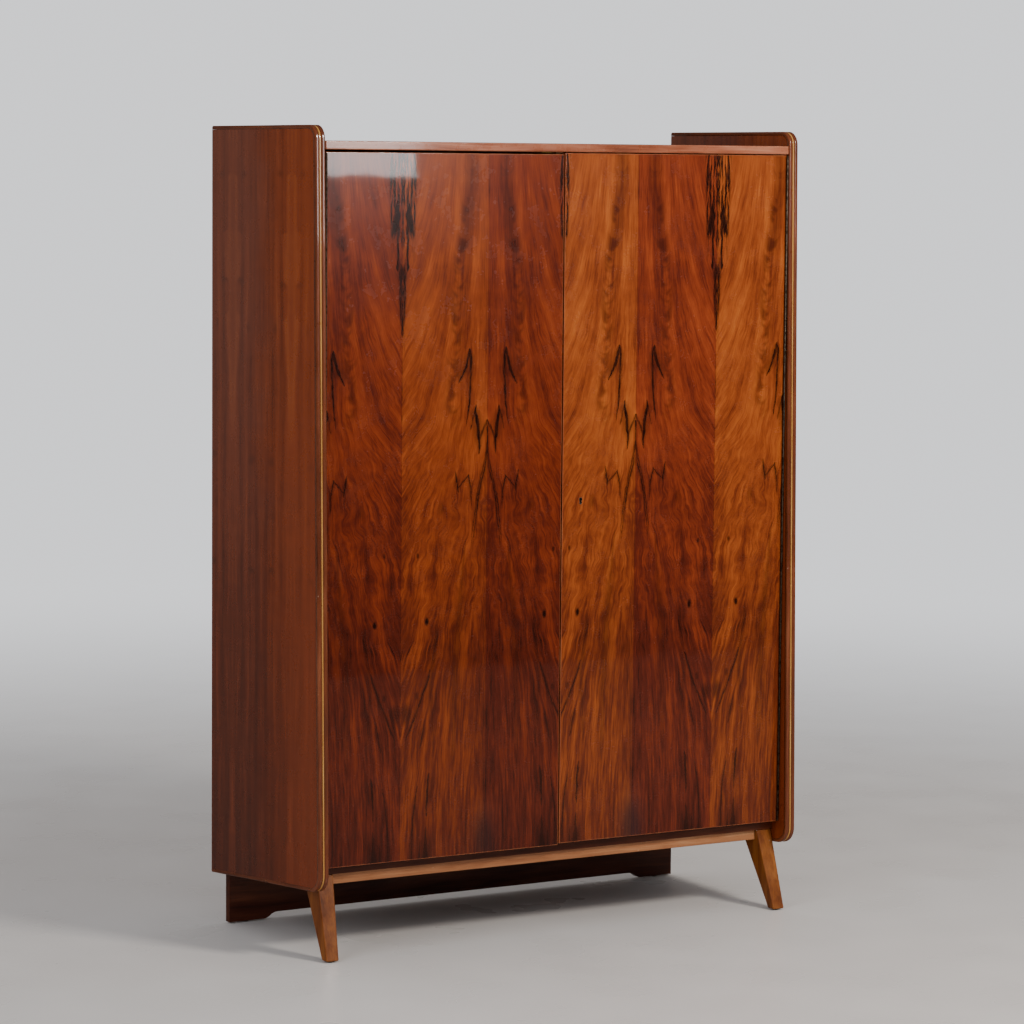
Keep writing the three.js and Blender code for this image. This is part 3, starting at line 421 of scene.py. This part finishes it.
def side_walnut(name):
    """Straight-grained walnut under gloss lacquer."""
    material, put = new_material(name)
    mm = put("VectorMath:SCALE", put("TexCoord", out="Object"), 1000.0)
    x, y, z = put("SeparateXYZ", mm).node.outputs
    waver = put("TexNoise", mm, 0.008, 2.0)
    fold = put("Math:PINGPONG", put("Math:SUBTRACT", y, SIDE_SEAM), SIDE_LEAF)
    height = put("Math:MULTIPLY_ADD", waver, 30.0, put("Math:SUBTRACT", z, 15.0))
    level = put("MapRange", height, SIDE_FOOT, SIDE_HEAD)
    bend_place = put("CombineXYZ", put("Math:MULTIPLY", fold, 0.012), 0.0, put("Math:MULTIPLY", height, 0.004))
    bent = put("Math:MULTIPLY_ADD", put("TexNoise", bend_place, 1.0, 2.0), SIDE_BEND, fold)

    def stretched(place, wide, layer, tall):
        """A place where noise comes out this wide across the grain and this tall along it, in millimetres."""
        return put("CombineXYZ", put("Math:DIVIDE", place, wide), layer, put("Math:DIVIDE", height, tall))

    broad = put("TexNoise", stretched(bent, 24.0, 2.0, 420.0), 1.0, 3.0, 0.55)
    rings = put("TexNoise", stretched(bent, 3.6, 5.0, 210.0), 1.0, 4.0, 0.62)
    ribbon = put("TexNoise", stretched(fold, 60.0, 9.0, 26.0), 1.0, 2.0, 0.5)
    pores = put("TexNoise", put("Mapping", mm, None, None, (1.0, 1.0, 0.05)), 1.0, 2.0, 0.6)
    tone = put("Math:MULTIPLY_ADD", put("Math:SUBTRACT", broad, 0.5), 0.75, 0.48)
    tone = put("Math:MULTIPLY_ADD", put("Math:SUBTRACT", rings, 0.5), 0.4, tone)
    tone = put("Math:MULTIPLY_ADD", put("Math:SUBTRACT", ribbon, 0.5), 0.12, tone)
    # Pale tongues on the outer seams.
    spots = [((h - SIDE_FOOT) / (SIDE_HEAD - SIDE_FOOT), part) for h, part in TONGUES]
    width = put("Math:MULTIPLY", put("FloatCurve", None, level, points=spots), TONGUE)
    tongue = put("MapRange:SMOOTHSTEP", put("Math:SUBTRACT", put("Math:SUBTRACT", SIDE_LEAF, fold), width), 5.0, -5.0)
    tone = put("Math:MULTIPLY_ADD", tongue, 0.14, tone)
    tone = put("Math:SUBTRACT", tone, put("FloatCurve", None, level, points=SIDE_DUSK), use_clamp=True)
    colour = put("ValToRGB", tone, stops=SIDE_TONES)
    dark = put("Math:MULTIPLY", put("MapRange:SMOOTHSTEP", pores, 0.37, 0.31), 0.3)
    for s, h, rx, rz in SIDE_KNOTS:
        beside, above = put("Math:SUBTRACT", bent, s + SIDE_BEND / 2), put("Math:SUBTRACT", height, h)
        spot = put("CombineXYZ", put("Math:DIVIDE", beside, rx), 0.0, put("Math:DIVIDE", above, rz))
        far = put("VectorMath:LENGTH", spot)
        dark = put("Math:MAXIMUM", dark, put("MapRange:SMOOTHSTEP", far, 2.2, 0.2, 0.0, 0.4))
    colour = put("Mix:RGBA", dark, colour, linear("#280c08"))
    # The back half is painted with a grey-plum reflection of the pale surround, strongest near the top, and the front
    # half is pushed towards orange.
    depth = put("Math:MULTIPLY_ADD", waver, 160.0, y)
    painted_surround_reflection = put("Math:MULTIPLY", put("MapRange:SMOOTHSTEP", depth, 0.0, 200.0),
                put("MapRange:SMOOTHSTEP", z, 500.0, 1500.0, 0.12, 0.5))
    colour = put("Mix:RGBA", painted_surround_reflection, colour, linear("#6e463c"))
    front_orange = put("MapRange:SMOOTHSTEP", depth, 130.0, -130.0, 0.0, 0.4)
    colour = put("Mix:RGBA", front_orange, colour, linear("#9c4216"))
    swell = put("TexNoise", mm, 0.006, 3.0, 0.6)
    bump = put("Bump", ports={"Height": swell, "Strength": 0.2, "Distance": 0.0009})
    dull = put("MapRange", put("TexNoise", mm, 0.02, 3.0), 0.3, 0.7, 0.24, 0.34)
    return feed(material, Base_Color=colour, Roughness=dull, Normal=bump, Coat_Normal=bump, Coat_Weight=0.85,
                Coat_Roughness=0.05, IOR=1.45, Specular_IOR_Level=0.35)


side_veneer = side_walnut("straight_walnut_side_veneer")

# %% [markdown]
# ## Metals
# Four metals: the dark steel of the piano hinges, the plain steel of the lock, aged brass for the bolts and the
# hanging rail, and dull nickel for keyhole lining and glides. A metal's colour is its reflection, so the patina is
# drawn as blotches of darker colour and higher roughness, and thin brush lines break the highlights.

# %% Aged metals
def aged_metal(name, clean, patina, rough, blotch=0.12):
    """Brushed metal with blotches of patina; blotch is their frequency for each millimetre."""
    material, put = new_material(name)
    mm = put("VectorMath:SCALE", put("TexCoord", out="Object"), 1000.0)
    cloud = put("TexNoise", mm, blotch, 4.0, 0.65)
    brush = put("TexNoise", put("Mapping", mm, None, None, (2.2, 2.2, 0.08)), 1.0, 2.0)
    amount = put("MapRange:SMOOTHSTEP", cloud, 0.38, 0.66)
    colour = put("Mix:RGBA", amount, linear(clean), linear(patina))
    dull = put("Math:MULTIPLY_ADD", amount, 0.18, put("Math:MULTIPLY_ADD", brush, 0.12, rough - 0.06))
    bump = put("Bump", ports={"Height": brush, "Strength": 0.08, "Distance": 0.0002})
    return feed(material, Base_Color=colour, Metallic=1.0, Roughness=dull, Normal=bump)


hinge_steel = aged_metal("browned_hinge_steel", "#77695a", "#40342a", 0.42)
lock_steel = aged_metal("plain_lock_steel", "#85847e", "#4f4a42", 0.36)
brass = aged_metal("aged_brass", "#c09a52", "#6f5326", 0.3, 0.07)
nickel = aged_metal("dull_nickel", "#b4b3ad", "#7c766b", 0.28)
METALS = {"hinge_steel": hinge_steel, "lock_steel": lock_steel, "brass": brass, "nickel": nickel}
print("metals:", [metal.name for metal in METALS.values()])

# %% [markdown]
# ## Easing the boards
# No board in a real cabinet has a knife-sharp arris. Each visible board is copied from the frame, its loose
# triangles are merged and its flat faces joined, and then only the long outer edges are rounded. Rounding the edges
# of the small mortises too would limit the radius everywhere. The direction that a face looks in decides its finish,
# so that a door can have figured veneer in front, a plain one behind and solid wood on its edges.

# %% A board with eased arrises
LOOKS = {"front": Vector((0, -1, 0)), "back": Vector((0, 1, 0)), "top": Vector((0, 0, 1)),
         "under": Vector((0, 0, -1)), "left": Vector((-1, 0, 0)), "right": Vector((1, 0, 0))}
SHORTEST = 12  # millimetres; a shorter edge keeps its arris
NEAR = 0.05  # millimetres within which an edge lies on a side of its board's box


def settle(piece, body, stands_for=()):
    """Applies a piece's modifiers to a plain mesh, hangs it on its body and says what it stands for."""
    if piece.modifiers:
        bpy.context.view_layer.update()
        shown = piece.evaluated_get(bpy.context.evaluated_depsgraph_get())
        mesh = bpy.data.meshes.new_from_object(shown)
        piece.modifiers.clear()
        piece.data = mesh
        mesh.name = piece.name
    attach(piece, body)
    if stands_for:
        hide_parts(*stands_for)
    return piece


def new_piece(name, mesh, materials):
    piece = bpy.data.objects.new(name, mesh)
    bpy.context.scene.collection.objects.link(piece)
    for material in materials:
        mesh.materials.append(material)
    return piece


def ease(node, radius, finishes, every=False, segments=3):
    """Copies a CAD board, rounds its long outer edges and gives each face the finish for the way it looks."""
    low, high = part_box(node)
    materials = list(dict.fromkeys(finishes.values()))
    work = bmesh.new()
    work.from_mesh(nodes[node].data)
    bmesh.ops.remove_doubles(work, verts=work.verts, dist=1e-5)
    bmesh.ops.dissolve_limit(work, angle_limit=math.radians(0.5), verts=work.verts, edges=work.edges)
    work.normal_update()
    for face in work.faces:
        named = [look for look, way in LOOKS.items() if look in finishes and face.normal.dot(way) > 0.9]
        face.material_index = materials.index(finishes[named[0] if named else "rest"])

    def outer(edge):
        """Whether an edge lies along the crossing of two sides of the board's box."""
        shared = 0
        for axis in range(3):
            for limit in (low[axis], high[axis]):
                shared += all(abs(vert.co[axis] - limit) < NEAR * MM for vert in edge.verts)
        return shared >= 2

    picked = [edge for edge in work.edges if len(edge.link_faces) == 2 and edge.calc_face_angle(0) > math.radians(20)
              and (every or (outer(edge) and edge.calc_length() > SHORTEST * MM))]
    arris = materials.index(finishes["arris"]) if "arris" in finishes else -1
    bmesh.ops.bevel(work, geom=picked, offset=radius * MM, segments=segments, profile=0.5, affect="EDGES",
                    clamp_overlap=True, material=arris)
    bmesh.ops.triangulate(work, faces=[f for f in work.faces if len(f.verts) > 4])
    mesh = bpy.data.meshes.new(node + "_board")
    work.to_mesh(mesh)
    work.free()
    mesh.shade_smooth()
    mesh.set_sharp_from_angle(angle=math.radians(32))
    piece = new_piece(node + "_board", mesh, materials)
    even = piece.modifiers.new("flat_faces_first", "WEIGHTED_NORMAL")
    even.weight, even.keep_sharp = 100, True
    return settle(piece, body_of[node], [node])


for side, veneer in (("left", left_veneer), ("right", right_veneer)):
    # Each door's rounded arris takes the lighter arris wood, a painted highlight with wear.
    ease("door_" + side, 1.4, {"front": veneer, "back": inside_upright, "rest": edge_wood, "arris": highlit_worn_arris})
for side in ("left", "right"):
    ease("side_panel_" + side, 0.6, {"left": side_veneer, "right": side_veneer, "rest": dark_upright})
    ease("front_leg_" + side, 2.6, {"rest": leg_wood, "arris": leg_wood}, every=True, segments=4)
    ease("leg_block_" + side, 1.5, {"rest": dark_wood}, every=True)
    ease("plinth_block_" + side, 1.5, {"rest": dark_wood}, every=True)
ease("top_board", 2.4, {"front": top_edge_wood, "top": side_veneer, "under": inside_level, "rest": dark_wood,
                        "arris": top_edge_wood})
ease("floor_board", 1.4, {"top": inside_level, "rest": dark_wood, "arris": dark_wood})
ease("front_rail", 2.0, {"rest": rail_wood, "arris": rail_wood}, every=True)
ease("rear_plinth_board", 1.2, {"rest": dark_wood, "arris": dark_wood})
ease("centre_partition", 0.8, {"front": inside_upright, "rest": inside_upright})
ease("back_panel", 0.4, {"front": inside_upright, "rest": plywood})
for node in ("shelf_1", "shelf_2", "shelf_3", "shelf_4", "hat_shelf"):
    ease(node, 1.0, {"rest": inside_level})

# %% [markdown]
# ## The lipping round the side panels
# A rounded lipping of solid walnut runs along the top, front and lower edge of each side panel: two beads with a
# pale string between them. It is one small profile that follows one path, so Geometry Nodes sweep it. Four corner
# points make the path and Fillet Curve rounds the two front corners by their own radius. The length along the path
# and the place in the profile are kept as attributes, so that the grain of the wood can turn the corners too.

# %% A moulding that follows a panel's edge
def geometry_tree(name, sizes):
    """A Geometry Nodes tree with named inputs: its tree, a way to add nodes, and its input sockets by name."""
    tree = bpy.data.node_groups.new(name, "GeometryNodeTree")
    tree.interface.new_socket("Geometry", in_out="INPUT", socket_type="NodeSocketGeometry")
    for size, kind in sizes.items():
        tree.interface.new_socket(size, in_out="INPUT", socket_type="NodeSocket" + kind)
    tree.interface.new_socket("Geometry", in_out="OUTPUT", socket_type="NodeSocketGeometry")
    return tree, functools.partial(add, tree), {s.name: s for s in add(tree, "NodeGroupInput").node.outputs}


def run_tree(piece, tree, **values):
    """Adds the tree as a modifier and sets its inputs by their identifiers."""
    modifier = piece.modifiers.new(tree.name, "NODES")
    modifier.node_group = tree
    for item in tree.interface.items_tree:
        if item.in_out == "INPUT" and item.name in values:
            modifier[item.identifier] = values[item.name]
    return piece


moulding, put, given = geometry_tree("moulding_on_path", {
    "Width": "Float", "Depth": "Float", "Round": "Float", "Rows": "Int", "Pitch": "Float", "Finish": "Material"})
path = put("GeometryNodeMeshToCurve", given["Geometry"])
path = put("GeometryNodeFilletCurve", path, 14, put("GeometryNodeInputNamedAttribute", "corner_radius"), mode="POLY")
path = put("GeometryNodeStoreNamedAttribute", path,
           ports={"Name": "run", "Value": put("GeometryNodeSplineParameter", out="Length")})
bead = put("GeometryNodeCurvePrimitiveQuadrilateral", given["Width"], given["Depth"])
height = put("SeparateXYZ", put("GeometryNodeInputPosition"), out=1)
upper = put("Math:MULTIPLY", given["Round"], put("Math:LESS_THAN", height, 0.0))
bead = put("GeometryNodeFilletCurve", bead, 6, upper, mode="POLY")
rows = put("GeometryNodeDuplicateElements", bead, ports={"Amount": given["Rows"]}, domain="SPLINE").node
middle = put("Math:MULTIPLY", put("Math:SUBTRACT", given["Rows"], 1.0), 0.5)
from_middle = put("Math:SUBTRACT", rows.outputs["Duplicate Index"], middle)
shift = put("CombineXYZ", put("Math:MULTIPLY", from_middle, given["Pitch"]), 0.0, 0.0)
profile = put("GeometryNodeSetPosition", rows.outputs["Geometry"], ports={"Offset": shift})
profile = put("GeometryNodeStoreNamedAttribute", profile, data_type="FLOAT_VECTOR",
              ports={"Name": "across", "Value": put("GeometryNodeInputPosition")})
swept = put("GeometryNodeCurveToMesh", path, profile, ports={"Fill Caps": True})
swept = put("GeometryNodeRealizeInstances", swept)
put("NodeGroupOutput", put("GeometryNodeSetMaterial", swept, ports={"Material": given["Finish"]}))
print("moulding tree:", len(moulding.nodes), "nodes")

# %% [markdown]
# ## Beads and string
# The path is the panel's own outline, drawn in by half the depth of what runs on it: a leaning front edge, a lower
# edge that drops to the back, and a round corner at each end of the front. Both beads are swept at once, as two rows
# of one profile. The string sits a little lower between them.

# %% Lipping on both panels
PANEL_X, BACK, HEAD_HEIGHT = 588, 250, 1730  # a panel's middle, its back edge and its top
TOE_HEIGHT, HEEL_HEIGHT = 151, 110  # the lower edge in front and at the back
TOP_RADIUS, FOOT_RADIUS = 30, 38
LEAN = math.atan2(29, HEAD_HEIGHT - TOE_HEIGHT)  # the front edge leans back by 29 mm over its height
DROP = math.atan2(TOE_HEIGHT - HEEL_HEIGHT, 2 * BACK)


def rim(name, x, inset):
    """The panel's top, front and lower edge as a line of four points, drawn in by some millimetres."""
    reach = FOOT_RADIUS * math.tan((math.pi / 2 - LEAN - DROP) / 2)
    foot = -BACK - reach * math.sin(LEAN) + FOOT_RADIUS * (1 - math.cos(LEAN))

    def front(z):
        return foot + (z - TOE_HEIGHT) * math.tan(LEAN) + inset / math.cos(LEAN)

    def under(y):
        return HEEL_HEIGHT + (BACK - y) * math.tan(DROP) + inset / math.cos(DROP)

    toe = foot
    for _ in range(8):  # steps towards the point where the front and the lower edge cross
        toe = front(under(toe))
    head = HEAD_HEIGHT - inset
    corners = [(BACK, head, 0), (front(head), head, TOP_RADIUS - inset), (toe, under(toe), FOOT_RADIUS - inset),
               (BACK, under(BACK), 0)]
    mesh = bpy.data.meshes.new(name)
    mesh.from_pydata([(x * MM, y * MM, z * MM) for y, z, _ in corners], [(0, 1), (1, 2), (2, 3)], [])
    radii = [radius * MM for _, _, radius in corners]
    mesh.attributes.new("corner_radius", "FLOAT", "POINT").data.foreach_set("value", radii)
    return new_piece(name, mesh, [])


for side, sign in (("left", -1), ("right", 1)):
    beads = run_tree(rim("edge_beads_" + side, sign * PANEL_X, 4), moulding,
                     Width=10.2 * MM, Depth=8 * MM, Round=3.6 * MM, Rows=2, Pitch=13.8 * MM, Finish=lipping_wood)
    settle(beads, "case", ["edge_lipping_" + side])
    string = run_tree(rim("edge_string_line_" + side, sign * PANEL_X, 4.6), moulding,
                      Width=3.4 * MM, Depth=7 * MM, Round=0.7 * MM, Rows=1, Pitch=0.0, Finish=pale_string)
    settle(string, "case", ["edge_string_" + side])
    print(side, "beads", len(beads.data.polygons), "faces, string", len(string.data.polygons))

# %% [markdown]
# ## Screws and pins
# The hinges, the lock, the bolts and the cleats are held by slotted screws, and the thin back by pins. They repeat,
# so Geometry Nodes set one small head on every point, turned by a seeded random angle, as no one lines up slots. A
# head is two halves of a disc over a thin round base, and the gap between the halves is the slot.

# %% One head on every point
heads, put, given = geometry_tree("heads_on_points", {
    "Radius": "Float", "Slot": "Float", "Height": "Float", "Facing": "Vector", "Seed": "Int", "Finish": "Material"})
start = put("Math:ARCSINE", put("Math:DIVIDE", given["Slot"], put("Math:MULTIPLY", given["Radius"], 2.0)))
sweep = put("Math:SUBTRACT", math.pi, put("Math:MULTIPLY", start, 2.0))
arc = put("GeometryNodeCurveArc",
          ports={"Resolution": 9, "Radius": given["Radius"], "Start Angle": start, "Sweep Angle": sweep})
half = put("GeometryNodeFillCurve", put("GeometryNodeSetSplineCyclic", arc, ports={"Cyclic": True}), mode="NGONS")
half = put("GeometryNodeExtrudeMesh", half, ports={"Offset Scale": given["Height"]})
other_half = put("GeometryNodeTransform", half, ports={"Rotation": (0.0, 0.0, math.pi)})
base = put("GeometryNodeMeshCylinder", 18, 1, 1, given["Radius"], put("Math:MULTIPLY", given["Height"], 0.6))
both = put("GeometryNodeJoinGeometry", half)
for part in (other_half, base):
    heads.links.new(part, both.node.inputs[0])
turn = put("FunctionNodeRandomValue", ports={"Min": 0.0, "Max": 3.0, "Seed": given["Seed"]}, data_type="FLOAT")
turn = put("FunctionNodeEulerToRotation", put("CombineXYZ", 0.0, 0.0, turn))
turn = put("FunctionNodeAlignRotationToVector", turn, 1.0, given["Facing"], axis="Z")
placed = put("GeometryNodeInstanceOnPoints", given["Geometry"], ports={"Instance": both, "Rotation": turn})
placed = put("GeometryNodeRealizeInstances", placed)
put("NodeGroupOutput", put("GeometryNodeSetMaterial", placed, ports={"Material": given["Finish"]}))


PROUD = 0.2  # millimetres that a head stands above its surface


def fixings(name, body, metal, radius, gap, facing, points, seed):
    """Screw heads at points in millimetres, or plain pins where the gap of the slot is nothing."""
    mesh = bpy.data.meshes.new(name)
    mesh.from_pydata([tuple(c * MM for c in point) for point in points], [], [])
    piece = run_tree(new_piece(name, mesh, []), heads, Radius=radius * MM, Slot=gap * MM, Height=PROUD * MM,
                     Facing=facing, Seed=seed, Finish=METALS[metal])
    return settle(piece, body, ())


print("heads tree:", len(heads.nodes), "nodes")

# %% [markdown]
# ## Where the screws go
# Twelve countersunk screws hold each leaf of the long hinges, four the lock, two the strike and each keeper, four
# each guide of the slide bolts, three each socket of the hanging rail. Three go through each cleat. The pins of the
# back are set in from its edge and along the partition.

# %% Screws and pins in their places
BACK_FACE = 236  # how far back the plywood's outer face lies
FIRST_SCREW, SCREW_PITCH = 40, 127.4  # from the foot of the hinge, and from screw to screw
for side, sign, foot in (("left", -1, 194), ("right", 1, 197)):
    rows = [foot + FIRST_SCREW + i * SCREW_PITCH for i in range(12)]
    fixings("hinge_screws_case_" + side, "case", "hinge_steel", 2.6, 0.7, (-sign, 0, 0),
            [(sign * 574.8, -208.5, z) for z in rows], 3)
    fixings("hinge_screws_door_" + side, side + "_door", "hinge_steel", 2.6, 0.7, (sign, 0, 0),
            [(sign * 574.1, -208.5, z + 20) for z in rows], 4)
fixings("lock_screws", "right_door", "brass", 2.4, 0.7, (0, 1, 0),
        [(x, -198.1, z) for x in (9, 62) for z in (909, 968)], 5)
fixings("lock_forend_screws", "right_door", "brass", 2.2, 0.6, (-1, 0, 0),
        [(1.8, -206, z) for z in (898, 979)], 6)
fixings("strike_screws", "left_door", "brass", 2.2, 0.6, (1, 0, 0),
        [(-1.8, -205, z) for z in (919.5, 958.5)], 7)
BOLT_SCREWS = (-41, -19)  # on either side of the slide bolts, across the door
for end, levels, seed in (("upper", (1663.5, 1591.5), 8), ("lower", (208.5, 280.5), 9)):
    fixings(end + "_guide_screws", "left_door", "brass", 1.5, 0.5, (0, 1, 0),
            [(x, -195.7, z) for x in BOLT_SCREWS for z in levels], seed)
for end, level, way, seed in (("upper", 1678.7, -1, 10), ("lower", 197.3, 1, 11)):
    fixings(end + "_keeper_screws", "case", "brass", 1.6, 0.5, (0, 0, way),
            [(x, -187.6, level) for x in BOLT_SCREWS], seed)
RAIL_Y, RAIL_Z, RING = 17, 1390, 19.2  # the hanging rail's middle, and the ring of screws in its socket
around = [math.radians(angle) for angle in (90, 210, 330)]
for side, x, way in (("left", 11.8, 1), ("right", 573.2, -1)):
    fixings("rail_socket_screws_" + side, "case", "brass", 1.5, 0.5, (way, 0, 0),
            [(x, RAIL_Y + RING * math.cos(angle), RAIL_Z + RING * math.sin(angle)) for angle in around], 12)
for end, x, way in (("left", 1, 1), ("right", 0, -1)):
    spots = []
    for shelf in ("shelf_1", "shelf_2", "shelf_3", "shelf_4", "hat_shelf"):
        low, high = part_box(f"{shelf}_cleat_{end}")
        face = high[0] if way > 0 else low[0]
        spots += [(face / MM, y, (low[2] + high[2]) / 2 / MM) for y in (-110, 25, 160)]
    fixings("cleat_screws_" + end, "case", "brass", 2.8, 0.7, (way, 0, 0), spots, 13)
pins = [(x, z) for x in (-566, 566) for z in range(230, 1690, 110)]
pins += [(x, z) for x in range(-480, 500, 120) for z in (186, 1689)]
pins += [(0, z) for z in range(280, 1650, 150)]
fixings("back_pins", "case", "nickel", 1.7, 0.0, (0, 1, 0), [(x, BACK_FACE, z) for x, z in pins], 14)

# %% [markdown]
# ## What stays as it is
# The small fittings already have the right shape, so they keep it and get their metal or wood.

# %% Finishes for the fittings
FITTINGS = {**METALS, "interior_wood": inside_deep}
for name, node in nodes.items():
    if not node.hide_render:
        material = FITTINGS.get(slot_of[name])
        node.data.materials.clear()
        node.data.materials.append(material)
print("fittings painted:", sum(not node.hide_render for node in nodes.values()))

# %% [markdown]
# ## The floor
# The wardrobe stands on a plain pale floor, which melts into the surround far away, so that no horizon shows. Gloss
# shows whatever stands in front of it, so a dark cloth across the room keeps the doors deep in colour, and the floor
# is browner in reflections than it is itself. The cloth is seen by reflections only.

# %% Floor and cloth
SURROUND, SURROUND_POWER = "#d4d5d8", 1.7
FLOOR_REACH = 30  # metres from the wardrobe to each edge of the floor


def card(name, corners, material):
    mesh = bpy.data.meshes.new(name)
    mesh.from_pydata(corners, [], [(0, 1, 2, 3)])
    piece = new_piece(name, mesh, [material])
    return piece


floor_paint, put = new_material("pale_floor_paint")
metres = put("TexCoord", out="Object")
cloud = put("TexNoise", metres, 1.3, 3.0, 0.55)
pale = put("Mix:RGBA", cloud, linear("#e0dad4"), linear("#e9e4df"))
feed(floor_paint, Base_Color=put("Mix:RGBA", put("LightPath", out="Is Glossy Ray"), pale, linear("#7d6d63")),
     Roughness=put("MapRange", put("TexNoise", metres, 4.0, 3.0), 0.3, 0.7, 0.24, 0.36), Specular_IOR_Level=0.3)
far = put("MapRange:SMOOTHSTEP", put("VectorMath:LENGTH", metres), 1.2, 6.5)
far = put("Math:MULTIPLY", far, put("LightPath", out="Is Camera Ray"))
haze = put("Emission", linear(SURROUND), SURROUND_POWER)
ends = floor_paint.node_tree.nodes
melted = put("MixShader", far, ends["Principled BSDF"].outputs[0], haze)
floor_paint.node_tree.links.new(melted, ends["Material Output"].inputs["Surface"])
card("floor", [(x * FLOOR_REACH, y * FLOOR_REACH, 0) for x, y in ((-1, -1), (1, -1), (1, 1), (-1, 1))], floor_paint)
cloth, put = new_material("dark_studio_cloth")
feed(cloth, Base_Color=linear("#1a1412"), Roughness=1.0, Specular_IOR_Level=0.0)
flag = card("dark_cloth", [(-9, -3.9, 0), (9, -3.9, 0), (9, -3.9, 6), (-9, -3.9, 6)], cloth)
for ray in ("camera", "diffuse", "transmission", "shadow"):
    setattr(flag, "visible_" + ray, False)
print("floor", 2 * FLOOR_REACH, "metres wide")

# %% [markdown]
# ## The lamps and the surround
# One soft lamp stands high in front and lights the doors, a small bright card leaves its reflection on the top of the
# left door, and a wide weak lamp fills the side panel. The surround is pale where the camera sees it, and darker in
# reflections, so that it lays no grey veil over the lacquer.

# %% Lamps and surround
def lamp(name, place, aim, size, watts, tint="#ffffff", reflected=True):
    data = bpy.data.lights.new(name, "AREA")
    data.shape, data.size, data.size_y = "RECTANGLE", *size
    data.energy, data.color = watts, linear(tint)[:3]
    light = bpy.data.objects.new(name, data)
    bpy.context.scene.collection.objects.link(light)
    light.location = place
    light.rotation_euler = (Vector(aim) - Vector(place)).to_track_quat("-Z", "Y").to_euler()
    light.visible_glossy = reflected
    return light


lamp("soft_key", (1.3, -3.6, 3.3), (0.1, 0, 0.6), (0.8, 0.8), 120, "#fff8f0")
lamp("window_card", (0.7, -2.5, 2.03), (0.7, 0, 2.03), (0.45, 0.82), 12, "#ffffff")
lamp("left_fill", (-4.5, -2.0, 2.4), (0, 0, 0.8), (2.5, 2.5), 60, "#f2f6ff", reflected=False)

world = bpy.data.worlds.new("pale_studio")
bpy.context.scene.world = world
world.use_nodes = True
put = functools.partial(add, world.node_tree)
glossy = put("LightPath", out="Is Glossy Ray")
seen = put("LightPath", out="Is Camera Ray")
shade = put("Mix:RGBA", glossy, linear("#d8dade"), linear("#5c4e46"))
shade = put("Mix:RGBA", seen, shade, linear(SURROUND))
power = put("Mix:FLOAT", seen, 0.85, SURROUND_POWER)
background = world.node_tree.nodes["Background"]
world.node_tree.links.new(shade, background.inputs["Color"])
world.node_tree.links.new(power, background.inputs["Strength"])
print("lamps:", len(bpy.data.lights))

# %% [markdown]
# ## The camera
# A long lens, a little to the left of the wardrobe and a little above its middle, eight metres away.

# %% Camera
YAW, PITCH, ROLL = math.radians(30.96), math.radians(5.41), math.radians(0.49)
ahead = Vector((math.sin(YAW) * math.cos(PITCH), math.cos(YAW) * math.cos(PITCH), -math.sin(PITCH)))
level_right = Vector((math.cos(YAW), -math.sin(YAW), 0))
level_up = level_right.cross(ahead)
right = math.cos(ROLL) * level_right + math.sin(ROLL) * level_up
up = right.cross(ahead)
lens = bpy.data.cameras.new("studio_camera")
lens.sensor_width, lens.lens, lens.clip_end = 36.0, 127.8, 200.0
camera = bpy.data.objects.new("studio_camera", lens)
bpy.context.scene.collection.objects.link(camera)
camera.matrix_world = Matrix.Translation((-4.069, -6.794, 1.646)) @ Matrix((right, up, -ahead)).transposed().to_4x4()
bpy.context.scene.camera = camera
print("camera at", [round(v, 2) for v in camera.location])
